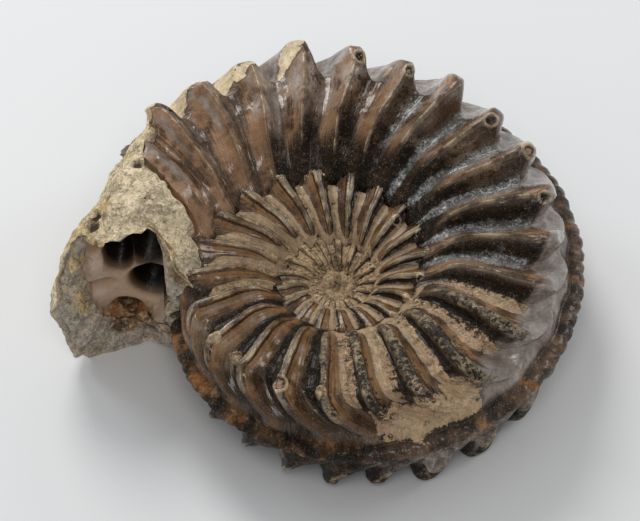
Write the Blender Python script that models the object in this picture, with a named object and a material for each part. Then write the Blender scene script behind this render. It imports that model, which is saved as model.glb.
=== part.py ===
"""Keeled, ribbed ammonite fossil: one solid coil of stone that lies on its far flank.

The coil is worked out in its own shell frame: the coiling axis is +Z, the coil's centre is the
origin and the shell grows counter-clockwise. It is then laid down on its far flank, so that the
tubercles which carry it stand on z = 0. Shell lengths are in units of SHELL_UNIT, the radius of
the shoulder tubercles where the coil angle is zero. A profile step runs along the whorl's near
side, from 0 at the seam over 1 at the shoulder tubercle and 2 at the rib's end to 3 at the keel.
"""
import math

import bmesh
import bpy
import numpy as np
from mathutils import Matrix

# ---------------------------------------------------------------- driving dimensions
SHELL_UNIT = 0.0233                       # metres
REST_TILT = 2.2                           # degrees between the coiling axis and the vertical
REST_TILT_TOWARDS = -52.3                 # degrees, where the axis leans to, round from +X
CONTACT_WEAR = 0.0002                     # metres worn off the tubercles it stands on

GROWTH_RATES = (0.1253, 0.1594, 0.0514)   # per radian: inner, middle and outer whorls
GROWTH_CHANGES = (-369.0, -50.0)          # degrees, where one rate gives way to the next
GROWTH_BLEND = 0.58                       # radians, how gently it does

END_ANGLE = 190.0                         # degrees, the broken end at the seam
TURNS = 3.5                               # whorls from the core to the broken end
CORE_HALF_THICKNESS = 0.024               # units, at the coil's centre
CORE_TAPER = 70.0                         # degrees over which the first whorl rises from the core

FIRST_RIB_ANGLE = 137.5                   # degrees, the newest whole rib
RIB_SPACING = 12.8                        # degrees, between the newest ribs
RIB_SPACING_GAIN = 0.095                  # degrees, how the spacing widens inwards
RIB_DRIFTS = ((14.0, -4.5, 2.0), (33.5, 4.5, 3.0))   # rib number, degrees, spread in ribs
RIB_FORWARD_SHARE = 0.63                  # of the spacing, the gentle side towards the open end
RIB_CREST_HALF_WIDTH = 0.07               # of the spacing, worn level
RIB_SHARPNESS = 2.4                       # of the crests on the flank
RIB_FIN_SHARPNESS = 1.25                  # of the fins at the shoulder
# Where the mesh is cut, in ribs from each crest, for four, five and six cuts a rib
RIB_CUTS = ((-0.34, -0.07, 0.08, 0.37), (-0.40, -0.22, -0.06, 0.08, 0.37),
            (-0.44, -0.26, -0.07, 0.08, 0.22, 0.37))
RIB_UNEVENNESS = 0.10                     # share by which neighbouring ribs differ in height
TALL_SPINES = ((1.0, -0.25), (3.0, 0.22), (4.0, 0.10))   # rib number, share by which its spine is taller

SEAM_STEP = 1.14                          # where the next whorl covers this one
PROFILE_STEPS = (0.0, 0.15, 0.42, 0.76, 1.0, SEAM_STEP, 1.28, 1.6, 2.0, 2.72, 3.0)
FLANK_SWELL = 3.6                         # exponent of the flank's rise from the seam
# Whorl sections beyond the tubercle: profile step, radius, height over the median plane
CREST = ((1.0, 1.000, 0.400), (1.28, 1.066, 0.374), (1.6, 1.092, 0.268), (2.0, 1.108, 0.180),
         (2.38, 1.114, 0.113), (2.72, 1.120, 0.062), (3.0, 1.186, 0.0))
TROUGH = ((1.0, 0.936, 0.312), (1.28, 0.974, 0.272), (1.6, 1.014, 0.226), (2.0, 1.056, 0.166),
          (2.38, 1.082, 0.110), (2.72, 1.106, 0.062), (3.0, 1.180, 0.0))
STONE = ((1.0, 0.975, 0.382), (1.28, 1.018, 0.335), (1.6, 1.050, 0.270), (2.0, 1.072, 0.180),
         (2.38, 1.085, 0.110), (2.72, 1.092, 0.060), (3.0, 1.098, 0.0))
KEEL_STEP = 3.0
KEEL_CORDS_PER_RIB = 2
KEEL_CORD_HEIGHT = 0.010                  # units

STONE_START = (128.0, 115.0)              # degrees where the shell is lost, on flank and shoulder
STONE_BLEND = 9.0                         # degrees
STONE_WAIST = (157.0, 16.0, -0.035)       # degrees, spread, share by which the stone is worn thinner
STONE_FLARE = (166.0, 180.0, 0.055)       # degrees from, to, share by which the broken rim flares
RIM_SKEW = 11.0                           # degrees by which the shoulder's break lies behind the seam's
RIM_SKEW_COLUMNS = 9
FAR_RIM_BITE = (0.55, 0.25, 5.0)          # profile step, spread, degrees broken out of the far rim

# Rings of the hollow, from the rim inwards: share of the ring before, radius and height in growth
# units of the point it shrinks to, degrees deeper, depth of the lobes in degrees
CAVITY_RINGS = ((0.80, 0.68, 0.22, 0.2, 0.0), (0.93, 0.82, 0.05, 3.4, 0.0),
                (0.72, 0.82, 0.05, 4.2, 2.8), (0.50, 0.82, 0.05, 0.2, 0.0))
CAVITY_LOBES = 5


def softplus(value):
    return np.logaddexp(0.0, value)


def smoothstep(low, high, value):
    t = np.clip((value - low) / (high - low), 0.0, 1.0)
    return t * t * (3.0 - 2.0 * t)


# ---------------------------------------------------------------- the rule of the coil
def growth(angle):
    """The shell's size at a coil angle in radians, 1 at angle 0."""
    inner, middle, outer = GROWTH_RATES
    first, second = np.radians(GROWTH_CHANGES)

    def total(a):
        return (inner * a
                + (middle - inner) * GROWTH_BLEND * softplus((a - first) / GROWTH_BLEND)
                + (outer - middle) * GROWTH_BLEND * softplus((a - second) / GROWTH_BLEND))
    return np.exp(total(angle) - total(0.0))


def rib_angle(count):
    """Coil angle, in radians, of a rib counted inwards from the newest whole one."""
    degrees = FIRST_RIB_ANGLE - RIB_SPACING * count - RIB_SPACING_GAIN * count * count
    for centre, shift, spread in RIB_DRIFTS:
        degrees = degrees + shift * np.exp(-((count - centre) / spread) ** 2)
    return np.radians(degrees)


RIB_COUNTS = np.linspace(-8.0, 90.0, 1961)
RIB_ANGLES = rib_angle(RIB_COUNTS)


def rib_count(angle):
    return np.interp(-angle, -RIB_ANGLES, RIB_COUNTS)


def rib_lean(angle, step):
    """How far, in radians, a rib's crest runs ahead of its tubercle at a profile step."""
    inner = np.radians(-4.0 + 13.0 * smoothstep(-110.0, -40.0, np.degrees(angle)))
    outer = np.radians(9.5)
    return np.where(step < 1.0, inner * np.clip(1.0 - step, 0.0, 1.0) ** 1.6,
                    outer * np.clip(step - 1.0, 0.0, 1.2) ** 1.6)


def rib_relief(angle, step):
    """0 in a trough to about 1 on a rib's crest; stone beyond the shell has none."""
    count = rib_count(angle - rib_lean(angle, step))
    number = np.floor(count + RIB_FORWARD_SHARE)
    offset = count - number
    side = np.where(offset < 0.0, RIB_FORWARD_SHARE, 1.0 - RIB_FORWARD_SHARE)
    across = np.clip((np.abs(offset) - RIB_CREST_HALF_WIDTH) / (side - RIB_CREST_HALF_WIDTH), 0.0, 1.0)
    sharp = (1.0 - across) ** RIB_SHARPNESS
    rounded = (0.5 * (1.0 + np.cos(math.pi * across))) ** RIB_FIN_SHARPNESS
    mix = smoothstep(0.75, 1.2, step)
    height = 1.0 + RIB_UNEVENNESS * np.sin(2.4 * number) * smoothstep(0.5, 1.2, step)
    for spine, taller in TALL_SPINES:
        height = height + taller * (number == spine) * smoothstep(0.8, 1.2, step)
    return (sharp * (1.0 - mix) + rounded * mix) * smoothstep(0.04, 0.3, step) * height


def section(table, step):
    steps, radii, heights = np.array(table).T
    return np.interp(step, steps, radii), np.interp(step, steps, heights)


def stone_share(angle, step):
    """How far the shell has given way to the stone that fills it, 0 to 1."""
    on_flank, on_shoulder = STONE_START
    start = on_flank + (on_shoulder - on_flank) * smoothstep(0.9, 1.3, step)
    return smoothstep(start, start + STONE_BLEND, np.degrees(angle))


def whorl_point(angle, step):
    """Radius and height, in units, of the near side at a coil angle and a profile step."""
    angle, step = np.broadcast_arrays(np.asarray(angle, float), np.asarray(step, float))
    size = growth(angle)
    core_angle = math.radians(END_ANGLE - 360.0 * TURNS)
    seam_radius = np.full(angle.shape, 1.04 * growth(core_angle))
    seam_height = np.full(angle.shape, CORE_HALF_THICKNESS)
    older = angle - 2.0 * math.pi
    covered = older > core_angle
    if covered.any():
        radius, height = whorl_point(older[covered], np.full(covered.sum(), SEAM_STEP))
        seam_radius[covered], seam_height[covered] = radius, height

    flank = np.clip(step, 0.0, 1.0)
    rise = 1.0 - (1.0 - flank) ** FLANK_SWELL

    def shape(table):
        radius, height = section(table, np.clip(step, 1.0, KEEL_STEP))
        radius, height = radius * size, height * size
        return (np.where(step < 1.0, seam_radius + (radius - seam_radius) * flank, radius),
                np.where(step < 1.0, seam_height + (height - seam_height) * rise, height))

    crest, trough, stone = shape(CREST), shape(TROUGH), shape(STONE)
    middle, spread, thinned = STONE_WAIST
    flare_start, flare_end, flared = STONE_FLARE
    degrees = np.degrees(angle)
    worn = 1.0 + (thinned * np.exp(-((degrees - middle) / spread) ** 2)
                  + flared * smoothstep(flare_start, flare_end, degrees)) * smoothstep(0.3, 1.0, step)
    stone = (stone[0] * worn, stone[1])
    relief, bare = rib_relief(angle, step), stone_share(angle, step)
    cords = np.cos(2.0 * math.pi * KEEL_CORDS_PER_RIB * rib_count(angle))
    keel = KEEL_CORD_HEIGHT * size * cords * smoothstep(2.72, KEEL_STEP, step) * (1.0 - bare)
    rising = smoothstep(0.0, CORE_TAPER, np.degrees(angle - core_angle))
    shares = []
    for crest_value, trough_value, stone_value in zip(crest, trough, stone):
        shell = trough_value + (crest_value - trough_value) * relief
        shares.append(shell + (stone_value - shell) * bare)
    radius, height = shares[0] + keel, shares[1]
    return (seam_radius + (radius - seam_radius) * np.where(step <= SEAM_STEP, rising, 1.0),
            seam_height + (height - seam_height) * np.where(step <= SEAM_STEP, rising, 1.0))


# ---------------------------------------------------------------- the solid
def column_angles():
    """Coil angles, in radians, at which the mesh is cut, from the core to the open end, and the
    number of cuts in a whorl. Every whorl is cut along its own ribs, and each rib gets as many cuts
    as keep the whorl level with the next one outwards, so that the two can share their seam."""
    end = math.radians(END_ANGLE)
    core = end - 2.0 * math.pi * TURNS
    angles = [end]
    count = math.floor(float(rib_count(end)))
    per_turn = None
    while angles[-1] > core:
        cuts = RIB_CUTS[0]
        if per_turn:
            reach = float(rib_angle(count + 0.4)) + 2.0 * math.pi
            wanted = sum(angle > reach for angle in angles) + per_turn - len(angles)
            cuts = RIB_CUTS[min(max(wanted - len(RIB_CUTS[0]), 0), len(RIB_CUTS) - 1)]
        for cut in cuts:
            angle = float(rib_angle(count + cut))
            if angle < angles[-1] - math.radians(1.2):
                angles.append(angle)
                if per_turn is None and angle <= end - 2.0 * math.pi + math.radians(1.2):
                    per_turn = len(angles) - 1
        count += 1
    return [core] + [angle for angle in reversed(angles) if angle > core + math.radians(1.2)], per_turn


def profile_rows():
    """Profile steps from the near seam over the keel to the far seam, with the side of each."""
    near = [(step, 1.0) for step in PROFILE_STEPS]
    return near + [(step, -1.0) for step, _ in reversed(near[:-1])]


def mesh_lean(column, columns, per_turn, angle, step):
    """Radians by which a mesh column leans so that it follows a rib, upright at both ends."""
    last_turn_start = columns - 1 - per_turn
    upright = min(abs(column - last_turn_start), columns - 1 - column) / 8.0
    follow = float(smoothstep(0.0, 1.0, upright)) if column > last_turn_start - 9 else 1.0
    return float(rib_lean(angle, step)) * follow * float(1.0 - smoothstep(2.0, KEEL_STEP, step))


def end_skew(column, columns, step, side):
    """Radians by which the broken rim lies behind the seam, near the open end."""
    ramp = smoothstep(columns - 1 - RIM_SKEW_COLUMNS, columns - 1, float(column))
    bite_step, spread, bite = FAR_RIM_BITE
    bite *= math.exp(-((step - bite_step) / spread) ** 2) * (side < 0.0)
    return math.radians(RIM_SKEW * smoothstep(0.0, 0.8, step) + bite) * ramp


def build_coil(bm):
    """The shell's outside: a flat ribbon rolled up along the coil, its whorls joined at the seams."""
    angles, per_turn = column_angles()
    rows = profile_rows()
    columns = len(angles)
    bmesh.ops.create_grid(bm, x_segments=columns - 1, y_segments=len(rows) - 1, size=1.0)
    column_of = {vert: round((vert.co.x + 1.0) / 2.0 * (columns - 1)) for vert in bm.verts}
    row_of = {vert: round((vert.co.y + 1.0) / 2.0 * (len(rows) - 1)) for vert in bm.verts}
    seam_row = PROFILE_STEPS.index(SEAM_STEP)
    far_seam_row = len(rows) - 1 - seam_row
    last_turn_start = columns - 1 - per_turn

    def place(column, row):
        step, side = rows[row]
        older = column - per_turn
        if row in (0, len(rows) - 1) and older >= 0:
            return place(older, seam_row if row == 0 else far_seam_row)
        angle = angles[column]
        if column:
            angle += mesh_lean(column, columns, per_turn, angle, step) - end_skew(column, columns, step, side)
        radius, height = whorl_point(angle, step)
        return radius * math.cos(angle), radius * math.sin(angle), side * height

    spots = {vert: place(column_of[vert], row_of[vert]) for vert in bm.verts}
    covered = [face for face in bm.faces
               if max(column_of[vert] for vert in face.verts) <= last_turn_start
               and min(row_of[vert] for vert in face.verts) >= seam_row
               and max(row_of[vert] for vert in face.verts) <= far_seam_row]
    for vert, spot in spots.items():
        vert.co = spot
    bmesh.ops.delete(bm, geom=covered, context="FACES")
    bmesh.ops.remove_doubles(bm, verts=bm.verts, dist=1e-5)


def open_loops(bm):
    """The open edges at the coil's centre, near and far, and those round the broken end."""
    core_reach = 1.04 * growth(math.radians(END_ANGLE - 360.0 * TURNS)) * 1.02
    open_edges = [edge for edge in bm.edges if edge.is_boundary]
    core = [edge for edge in open_edges if all(vert.co.xy.length < core_reach for vert in edge.verts)]
    near = [edge for edge in core if edge.verts[0].co.z > 0.0]
    far = [edge for edge in core if edge.verts[0].co.z < 0.0]
    return near, far, [edge for edge in open_edges if edge not in core]


def close_core(bm, edges, height):
    """A shallow dish over the coil's centre."""
    face = bmesh.ops.contextual_create(bm, geom=edges)["faces"]
    centre = bmesh.ops.poke(bm, faces=face)["verts"]
    for vert in centre:
        vert.co = (0.0, 0.0, height)


def close_end(bm, edges):
    """The broken rim, the hollow behind it and the lobed partition that closes the hollow."""
    end = math.radians(END_ANGLE)
    size = float(growth(end))
    rim_angle = end - math.radians(RIM_SKEW)
    for share, middle, level, deeper, lobe_depth in CAVITY_RINGS:
        middle, level = middle * size, level * size
        made = bmesh.ops.extrude_edge_only(bm, edges=edges)["geom"]
        edges = [part for part in made if isinstance(part, bmesh.types.BMEdge) and part.is_boundary]
        for vert in {vert for edge in edges for vert in edge.verts}:
            radius = vert.co.xy.length
            angle = math.atan2(vert.co.y, vert.co.x) % (2.0 * math.pi)
            around = math.atan2(vert.co.z - level, radius - middle)
            lobe = 0.5 + 0.5 * math.cos(CAVITY_LOBES * around)
            angle += (rim_angle - angle) * 0.5 - math.radians(deeper + lobe_depth * lobe)
            radius = middle + (radius - middle) * share
            vert.co = (radius * math.cos(angle), radius * math.sin(angle), level + (vert.co.z - level) * share)
    face = bmesh.ops.contextual_create(bm, geom=edges)["faces"]
    bmesh.ops.poke(bm, faces=face)


def lay_down(bm):
    """Real size, far flank down, the tubercles it stands on worn flat at z = 0."""
    bmesh.ops.scale(bm, vec=(SHELL_UNIT,) * 3, verts=bm.verts)
    lean = math.radians(REST_TILT_TOWARDS)
    axis = (-math.sin(lean), math.cos(lean), 0.0)
    bmesh.ops.rotate(bm, cent=(0.0, 0.0, 0.0), matrix=Matrix.Rotation(math.radians(REST_TILT), 3, axis),
                     verts=bm.verts)
    lows = [min(vert.co[i] for vert in bm.verts) for i in range(3)]
    highs = [max(vert.co[i] for vert in bm.verts) for i in range(3)]
    bmesh.ops.translate(bm, verts=bm.verts, vec=(-(lows[0] + highs[0]) / 2.0, -(lows[1] + highs[1]) / 2.0,
                                                 -lows[2] - CONTACT_WEAR))
    bmesh.ops.bisect_plane(bm, geom=bm.verts[:] + bm.edges[:] + bm.faces[:], plane_co=(0.0, 0.0, 0.0),
                           plane_no=(0.0, 0.0, -1.0), clear_outer=True)
    bmesh.ops.holes_fill(bm, edges=[edge for edge in bm.edges if edge.is_boundary])


def fossil_stone():
    """Glossy brown shell turned to stone."""
    material = bpy.data.materials.new("fossil_stone")
    material.use_nodes = True
    shader = material.node_tree.nodes["Principled BSDF"]
    shader.inputs["Base Color"].default_value = (0.17, 0.105, 0.062, 1.0)
    shader.inputs["Roughness"].default_value = 0.38
    shader.inputs["Metallic"].default_value = 0.0
    return material


def ammonite():
    bm = bmesh.new()
    build_coil(bm)
    near, far, end = open_loops(bm)
    close_core(bm, near, CORE_HALF_THICKNESS * 0.6)
    close_core(bm, far, -CORE_HALF_THICKNESS * 0.6)
    close_end(bm, end)
    bmesh.ops.recalc_face_normals(bm, faces=bm.faces)
    lay_down(bm)
    mesh = bpy.data.meshes.new("ammonite")
    bm.to_mesh(mesh)
    bm.free()
    mesh.shade_smooth()
    mesh.set_sharp_from_angle(angle=math.radians(50.0))
    mesh.materials.append(fossil_stone())
    fossil = bpy.data.objects.new("ammonite", mesh)
    bpy.context.scene.collection.objects.link(fossil)
    return fossil


def main():
    for leftover in list(bpy.data.objects):
        bpy.data.objects.remove(leftover)
    ammonite()


if __name__ == "__main__":
    main()
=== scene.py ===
"""A keeled, ribbed ammonite turned to stone, lying on its far flank on a pale table.

Lengths of the coil are in shell units, one unit being the radius of the shoulder tubercles where
the coil angle is zero. The coiling axis is +Z, the shell grows counter-clockwise and the near flank
is the one at +Z. A profile step runs along a whorl's side: 0 at the seam, 1 at the shoulder
tubercle, 2 where the rib fades on the belly, 3 on the keel. Ribs are counted inwards from the
newest whole one, so a rib count grows as the coil angle falls. A rib's offset is counted in ribs
from its crest: below 0 on the forward side, above 0 behind it.
"""
import math
from types import SimpleNamespace

import bmesh
import bpy
import numpy as np
from bpy.props import FloatProperty, FloatVectorProperty, IntProperty, PointerProperty
from mathutils import Matrix, Vector


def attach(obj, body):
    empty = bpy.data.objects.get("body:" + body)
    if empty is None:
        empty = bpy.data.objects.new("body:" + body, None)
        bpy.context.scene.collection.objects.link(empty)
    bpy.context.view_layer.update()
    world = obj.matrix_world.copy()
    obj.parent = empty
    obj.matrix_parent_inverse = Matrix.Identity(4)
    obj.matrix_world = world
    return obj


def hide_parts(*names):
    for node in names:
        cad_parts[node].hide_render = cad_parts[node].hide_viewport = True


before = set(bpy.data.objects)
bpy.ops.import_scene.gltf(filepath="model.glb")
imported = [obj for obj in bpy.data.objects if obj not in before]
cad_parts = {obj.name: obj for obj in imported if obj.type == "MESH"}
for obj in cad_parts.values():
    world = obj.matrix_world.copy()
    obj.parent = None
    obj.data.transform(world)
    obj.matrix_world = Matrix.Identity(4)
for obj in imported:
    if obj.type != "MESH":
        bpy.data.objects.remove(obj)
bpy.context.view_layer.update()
NODE = "ammonite"

bl_info = {
    "name": "Ammonite fossil",
    "version": (1, 0, 0),
    "blender": (4, 5, 0),
    "location": "3D View > Sidebar > Ammonite",
    "description": "Models a keeled, ribbed ammonite fossil with its stone filling and its table",
    "category": "Object",
}

# ---------------------------------------------------------------- the coil's rule
FULL_TURN = 2.0 * math.pi
COIL_CENTRE = (0.002054, -0.003283, 0.009790)   # metres, where the coil's centre lies
REST_TILT = math.radians(2.2)                   # between the coiling axis and the vertical
REST_TILT_TOWARDS = math.radians(-52.3)

GROWTH_RATES = (0.1253, 0.1594, 0.0514)         # per radian, of the inner, middle and outer whorls
GROWTH_CHANGES = (-369.0, -50.0)                # degrees, where one rate gives way to the next
GROWTH_BLEND = 0.58                             # radians
CORE_ANGLE = math.radians(190.0 - 360.0 * 3.5)  # where the first whorl leaves the core
CORE_HALF_THICKNESS = 0.024
CORE_TAPER = 70.0                               # degrees over which the first whorl rises
CORE_RIM = 1.04
CORE_COVER = 1.45                               # how far the crust over the core goes past its rim

FIRST_RIB_ANGLE = 137.5                         # degrees
RIB_SPACING = 12.8                              # degrees between the newest ribs
RIB_SPACING_GAIN = 0.095
RIB_DRIFTS = ((14.0, -4.5, 2.0), (33.5, 4.5, 3.0))       # rib, degrees of shift, ribs it fades over
FORWARD_SHARE = 0.63                            # of the rib spacing, on the forward side of a crest
CREST_HALF_WIDTH = 0.07
FLANK_SHARPNESS = (1.9, 3.0)                    # of the forward and the back side of a rib
FIN_SHARPNESS = 1.25
TALL_SPINES = ((1.0, -0.25), (3.0, 0.22), (4.0, 0.10))   # rib, share by which its spine is taller
SMOOTH_END = (-0.30, -0.85)                     # rib counts over which the shell turns smooth
OUTER_WHORL_START = 21.37                       # rib count
OLDEST_RIB = 63.9

SEAM_STEP = 1.14                                # where the next whorl covers this one
FLANK_SWELL = 3.6
KEEL_FOOT = 2.72                                # profile step
SECTION_CENTRE = 0.82                           # of the shell's size, the middle of a whorl
# profile step, radius and height over the median plane of a crest, a trough and the stone filling
CREST = ((1.0, 1.000, 0.400), (1.28, 1.066, 0.374), (1.6, 1.092, 0.268), (2.0, 1.108, 0.180),
         (2.38, 1.114, 0.113), (KEEL_FOOT, 1.120, 0.062), (3.0, 1.186, 0.0))
TROUGH = ((1.0, 0.936, 0.312), (1.28, 0.974, 0.272), (1.6, 1.014, 0.226), (2.0, 1.056, 0.166),
          (2.38, 1.082, 0.110), (KEEL_FOOT, 1.106, 0.062), (3.0, 1.180, 0.0))
STONE = ((1.0, 0.975, 0.382), (1.28, 1.018, 0.335), (1.6, 1.050, 0.270), (2.0, 1.072, 0.180),
         (2.38, 1.085, 0.110), (KEEL_FOOT, 1.092, 0.060), (3.0, 1.098, 0.0))
KEEL_HALF_WIDTH = 0.050
KEEL_CORDS_PER_RIB = 2
KEEL_CORD_HEIGHT = 0.012
STONE_WAIST = (157.0, 16.0, -0.035)             # degrees, degrees it fades over, share
STONE_FLARE = (166.0, 180.0, 0.055)             # degrees from and to, share


def softplus(value):
    return np.logaddexp(0.0, value)


def smoothstep(low, high, value):
    """Eased from 0 to 1 as value goes from low to high, which may lie either way round."""
    t = np.clip((value - low) / (high - low), 0.0, 1.0)
    return t * t * (3.0 - 2.0 * t)


def bump(centre, reach, value):
    """1 at the centre, fading over reach on either side."""
    return np.exp(-((value - centre) / reach) ** 2)


def window(low, high, soft, value):
    """1 between low and high, fading over soft on either side."""
    return smoothstep(low - soft, low + soft, value) * (1.0 - smoothstep(high - soft, high + soft, value))


def blot(degrees, step, place, spot_step, reach, spot_reach):
    """A soft round patch on the flank, by coil angle and profile step."""
    return bump(place, reach, degrees) * bump(spot_step, spot_reach, step)


def growth(angle):
    """The shell's size at a coil angle, 1 where the angle is zero."""
    inner, middle, outer = GROWTH_RATES
    first, second = np.radians(GROWTH_CHANGES)

    def total(a):
        return (inner * a
                + (middle - inner) * GROWTH_BLEND * softplus((a - first) / GROWTH_BLEND)
                + (outer - middle) * GROWTH_BLEND * softplus((a - second) / GROWTH_BLEND))
    return np.exp(total(angle) - total(0.0))


def rib_angle(count):
    degrees = FIRST_RIB_ANGLE - RIB_SPACING * count - RIB_SPACING_GAIN * count * count
    for centre, shift, reach in RIB_DRIFTS:
        degrees = degrees + shift * bump(centre, reach, count)
    return np.radians(degrees)


RIB_COUNTS = np.linspace(-9.0, 92.0, 4041)
RIB_ANGLES = rib_angle(RIB_COUNTS)


def rib_count(angle):
    return np.interp(-angle, -RIB_ANGLES, RIB_COUNTS)


def rib_lean(angle, step):
    """How far a rib's crest runs ahead of its tubercle at a profile step."""
    inner = np.radians(-4.0 + 13.0 * smoothstep(-110.0, -40.0, np.degrees(angle)))
    outer = np.radians(9.5)
    return np.where(step < 1.0, inner * np.clip(1.0 - step, 0.0, 1.0) ** 1.6,
                    outer * np.clip(step - 1.0, 0.0, 1.2) ** 1.6)


def along_rib(count, step):
    """Coil angle of the line that keeps a rib count at a profile step."""
    angle = upright = rib_angle(count)
    for _ in range(4):
        angle = upright + rib_lean(angle, step)
    return angle


# ---------------------------------------------------------------- irregularity
def lattice_value(cell, seed):
    mixed = (cell[..., 0] * 73856093) ^ (cell[..., 1] * 19349663) ^ (cell[..., 2] * 83492791)
    mixed = mixed ^ (seed * 2654435)
    mixed = (mixed ^ (mixed >> 13)) * 1274126177
    return ((mixed ^ (mixed >> 16)) & 0xFFFF) / 65535.0


def noise(points, scale, seed):
    """Smooth noise between -1 and 1 at points, with features one over scale wide."""
    spot = points * scale
    cell = np.floor(spot).astype(np.int64)
    part = spot - cell
    part = part * part * (3.0 - 2.0 * part)
    total = 0.0
    for corner in range(8):
        step = np.array([corner & 1, corner >> 1 & 1, corner >> 2 & 1])
        weight = np.prod(np.where(step, part, 1.0 - part), axis=-1)
        total = total + weight * lattice_value(cell + step, seed)
    return total * 2.0 - 1.0


def wobble(value, scale, seed):
    """Noise met along a line."""
    return noise(np.stack([value, 0.0 * value, 0.0 * value], axis=-1), scale, seed)


def rough(points, scale, octaves, seed):
    """Noise with finer and fainter noise laid over it."""
    total, size, reach = 0.0, 1.0, 0.0
    for octave in range(octaves):
        total = total + size * noise(points + 7.3 * octave, scale * 2.0 ** octave, seed + octave)
        reach += size
        size *= 0.5
    return total / reach


# ---------------------------------------------------------------- whorl surface
def rib_parts(count):
    """Number of the nearest rib, offset from its crest, and 0 to 1 from crest to trough."""
    number = np.floor(count + FORWARD_SHARE)
    offset = count - number
    side = np.where(offset < 0.0, FORWARD_SHARE, 1.0 - FORWARD_SHARE)
    across = np.clip((np.abs(offset) - CREST_HALF_WIDTH) / (side - CREST_HALF_WIDTH), 0.0, 1.0)
    return number, offset, across


def rib_relief(count, step):
    """0 in a trough and about 1 on a crest."""
    number, offset, across = rib_parts(count)
    forward, back = FLANK_SHARPNESS
    sharp = (1.0 - across) ** np.where(offset < 0.0, forward, back)
    rounded = (0.5 * (1.0 + np.cos(math.pi * across))) ** FIN_SHARPNESS
    mix = smoothstep(0.75, 1.2, step)
    height = 1.0 + 0.10 * np.sin(2.4 * number) * smoothstep(0.5, 1.2, step)
    for spine, taller in TALL_SPINES:
        height = height + taller * (number == spine) * smoothstep(0.8, 1.2, step)
    relief = (sharp * (1.0 - mix) + rounded * mix) * height
    worn = smoothstep(*SMOOTH_END, count)
    return (relief + (0.80 * worn - relief) * worn) * smoothstep(0.04, 0.3, step)


def section(table, step):
    steps, radii, heights = np.array(table).T
    return np.interp(step, steps, radii), np.interp(step, steps, heights)


def round_section(table, step):
    """The whorl section beyond the tubercle, its corners rounded and its keel a half round."""
    radius = height = 0.0
    for shift in (-0.10, -0.05, 0.0, 0.05, 0.10):
        near_radius, near_height = section(table, np.clip(step + shift, 1.0, KEEL_FOOT))
        radius, height = radius + near_radius / 5.0, height + near_height / 5.0
    turn = np.clip((step - KEEL_FOOT) / (3.0 - KEEL_FOOT), 0.0, 1.0) * math.pi / 2.0
    foot, crown = section(table, (KEEL_FOOT, 3.0))[0]
    keel_radius = foot + (crown - foot) * np.sin(turn)
    keel_height = KEEL_HALF_WIDTH * np.cos(turn) ** 1.4
    blend = smoothstep(2.60, 2.76, step)
    return radius + (keel_radius - radius) * blend, height + (keel_height - height) * blend


def whorl_point(angle, step, count=None, stone=False, fill=0.0):
    """Radius and height of the near side, in units. fill raises the troughs as sediment does."""
    angle, step = np.broadcast_arrays(np.asarray(angle, float), np.asarray(step, float))
    if count is None:
        count = rib_count(angle - rib_lean(angle, step))
    size = growth(angle)
    seam_radius = np.full(angle.shape, CORE_RIM * growth(CORE_ANGLE))
    seam_height = np.full(angle.shape, CORE_HALF_THICKNESS)
    older = angle - FULL_TURN
    covered = older > CORE_ANGLE
    if covered.any():
        seam_radius[covered], seam_height[covered] = whorl_point(older[covered], SEAM_STEP)
    flank = np.clip(step, 0.0, 1.0)
    rise = 1.0 - (1.0 - flank) ** FLANK_SWELL

    def shape(table):
        radius, height = round_section(table, np.clip(step, 1.0, 3.0))
        radius, height = radius * size, height * size
        return (np.where(step < 1.0, seam_radius + (radius - seam_radius) * flank, radius),
                np.where(step < 1.0, seam_height + (height - seam_height) * rise, height))

    if stone:
        middle, reach, thinned = STONE_WAIST
        flare_start, flare_end, flared = STONE_FLARE
        degrees = np.degrees(angle)
        radius, height = shape(STONE)
        wider = thinned * bump(middle, reach, degrees) + flared * smoothstep(flare_start, flare_end, degrees)
        return radius * (1.0 + wider * smoothstep(0.3, 1.0, step)), height
    crest, trough = shape(CREST), shape(TROUGH)
    relief = rib_relief(count, step)
    relief = np.where(fill > 0.0, softplus((relief - fill) * 14.0) / 14.0 + fill, relief)
    cords = np.abs(np.cos(FULL_TURN * KEEL_CORDS_PER_RIB * count)) ** 0.7
    keel = KEEL_CORD_HEIGHT * size * (cords - 0.4) * smoothstep(2.70, 2.9, step)
    rising = smoothstep(0.0, CORE_TAPER, np.degrees(angle - CORE_ANGLE))
    rising = np.where(step <= SEAM_STEP, rising, 1.0)
    radius = trough[0] + (crest[0] - trough[0]) * relief + keel
    height = trough[1] + (crest[1] - trough[1]) * relief
    return seam_radius + (radius - seam_radius) * rising, seam_height + (height - seam_height) * rising


# ---------------------------------------------------------------- laying the pieces out
def rest_turn():
    """The turn from the coil's own axes to the way it lies on the table."""
    lean = (-math.sin(REST_TILT_TOWARDS), math.cos(REST_TILT_TOWARDS), 0.0)
    return Matrix.Rotation(REST_TILT, 3, lean)


def settle(points):
    """Shell units to metres, far flank down, with the tubercles it stands on worn level."""
    unit = bpy.context.scene.ammonite_sizes.shell_unit
    placed = points @ np.array(rest_turn()).T * unit + COIL_CENTRE
    placed[..., 2] = np.maximum(placed[..., 2], 0.0)
    return placed


def polar(angle, radius, height):
    angle, radius, height = np.broadcast_arrays(angle, radius, height)
    return np.stack([radius * np.cos(angle), radius * np.sin(angle), height], axis=-1)


def outward(points, inside_out=False):
    """Unit normals of a grid of points, by its own neighbours."""
    normal = np.cross(np.gradient(points, axis=0), np.gradient(points, axis=1))
    normal /= np.linalg.norm(normal, axis=-1, keepdims=True) + 1e-12
    return -normal if inside_out else normal


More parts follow.
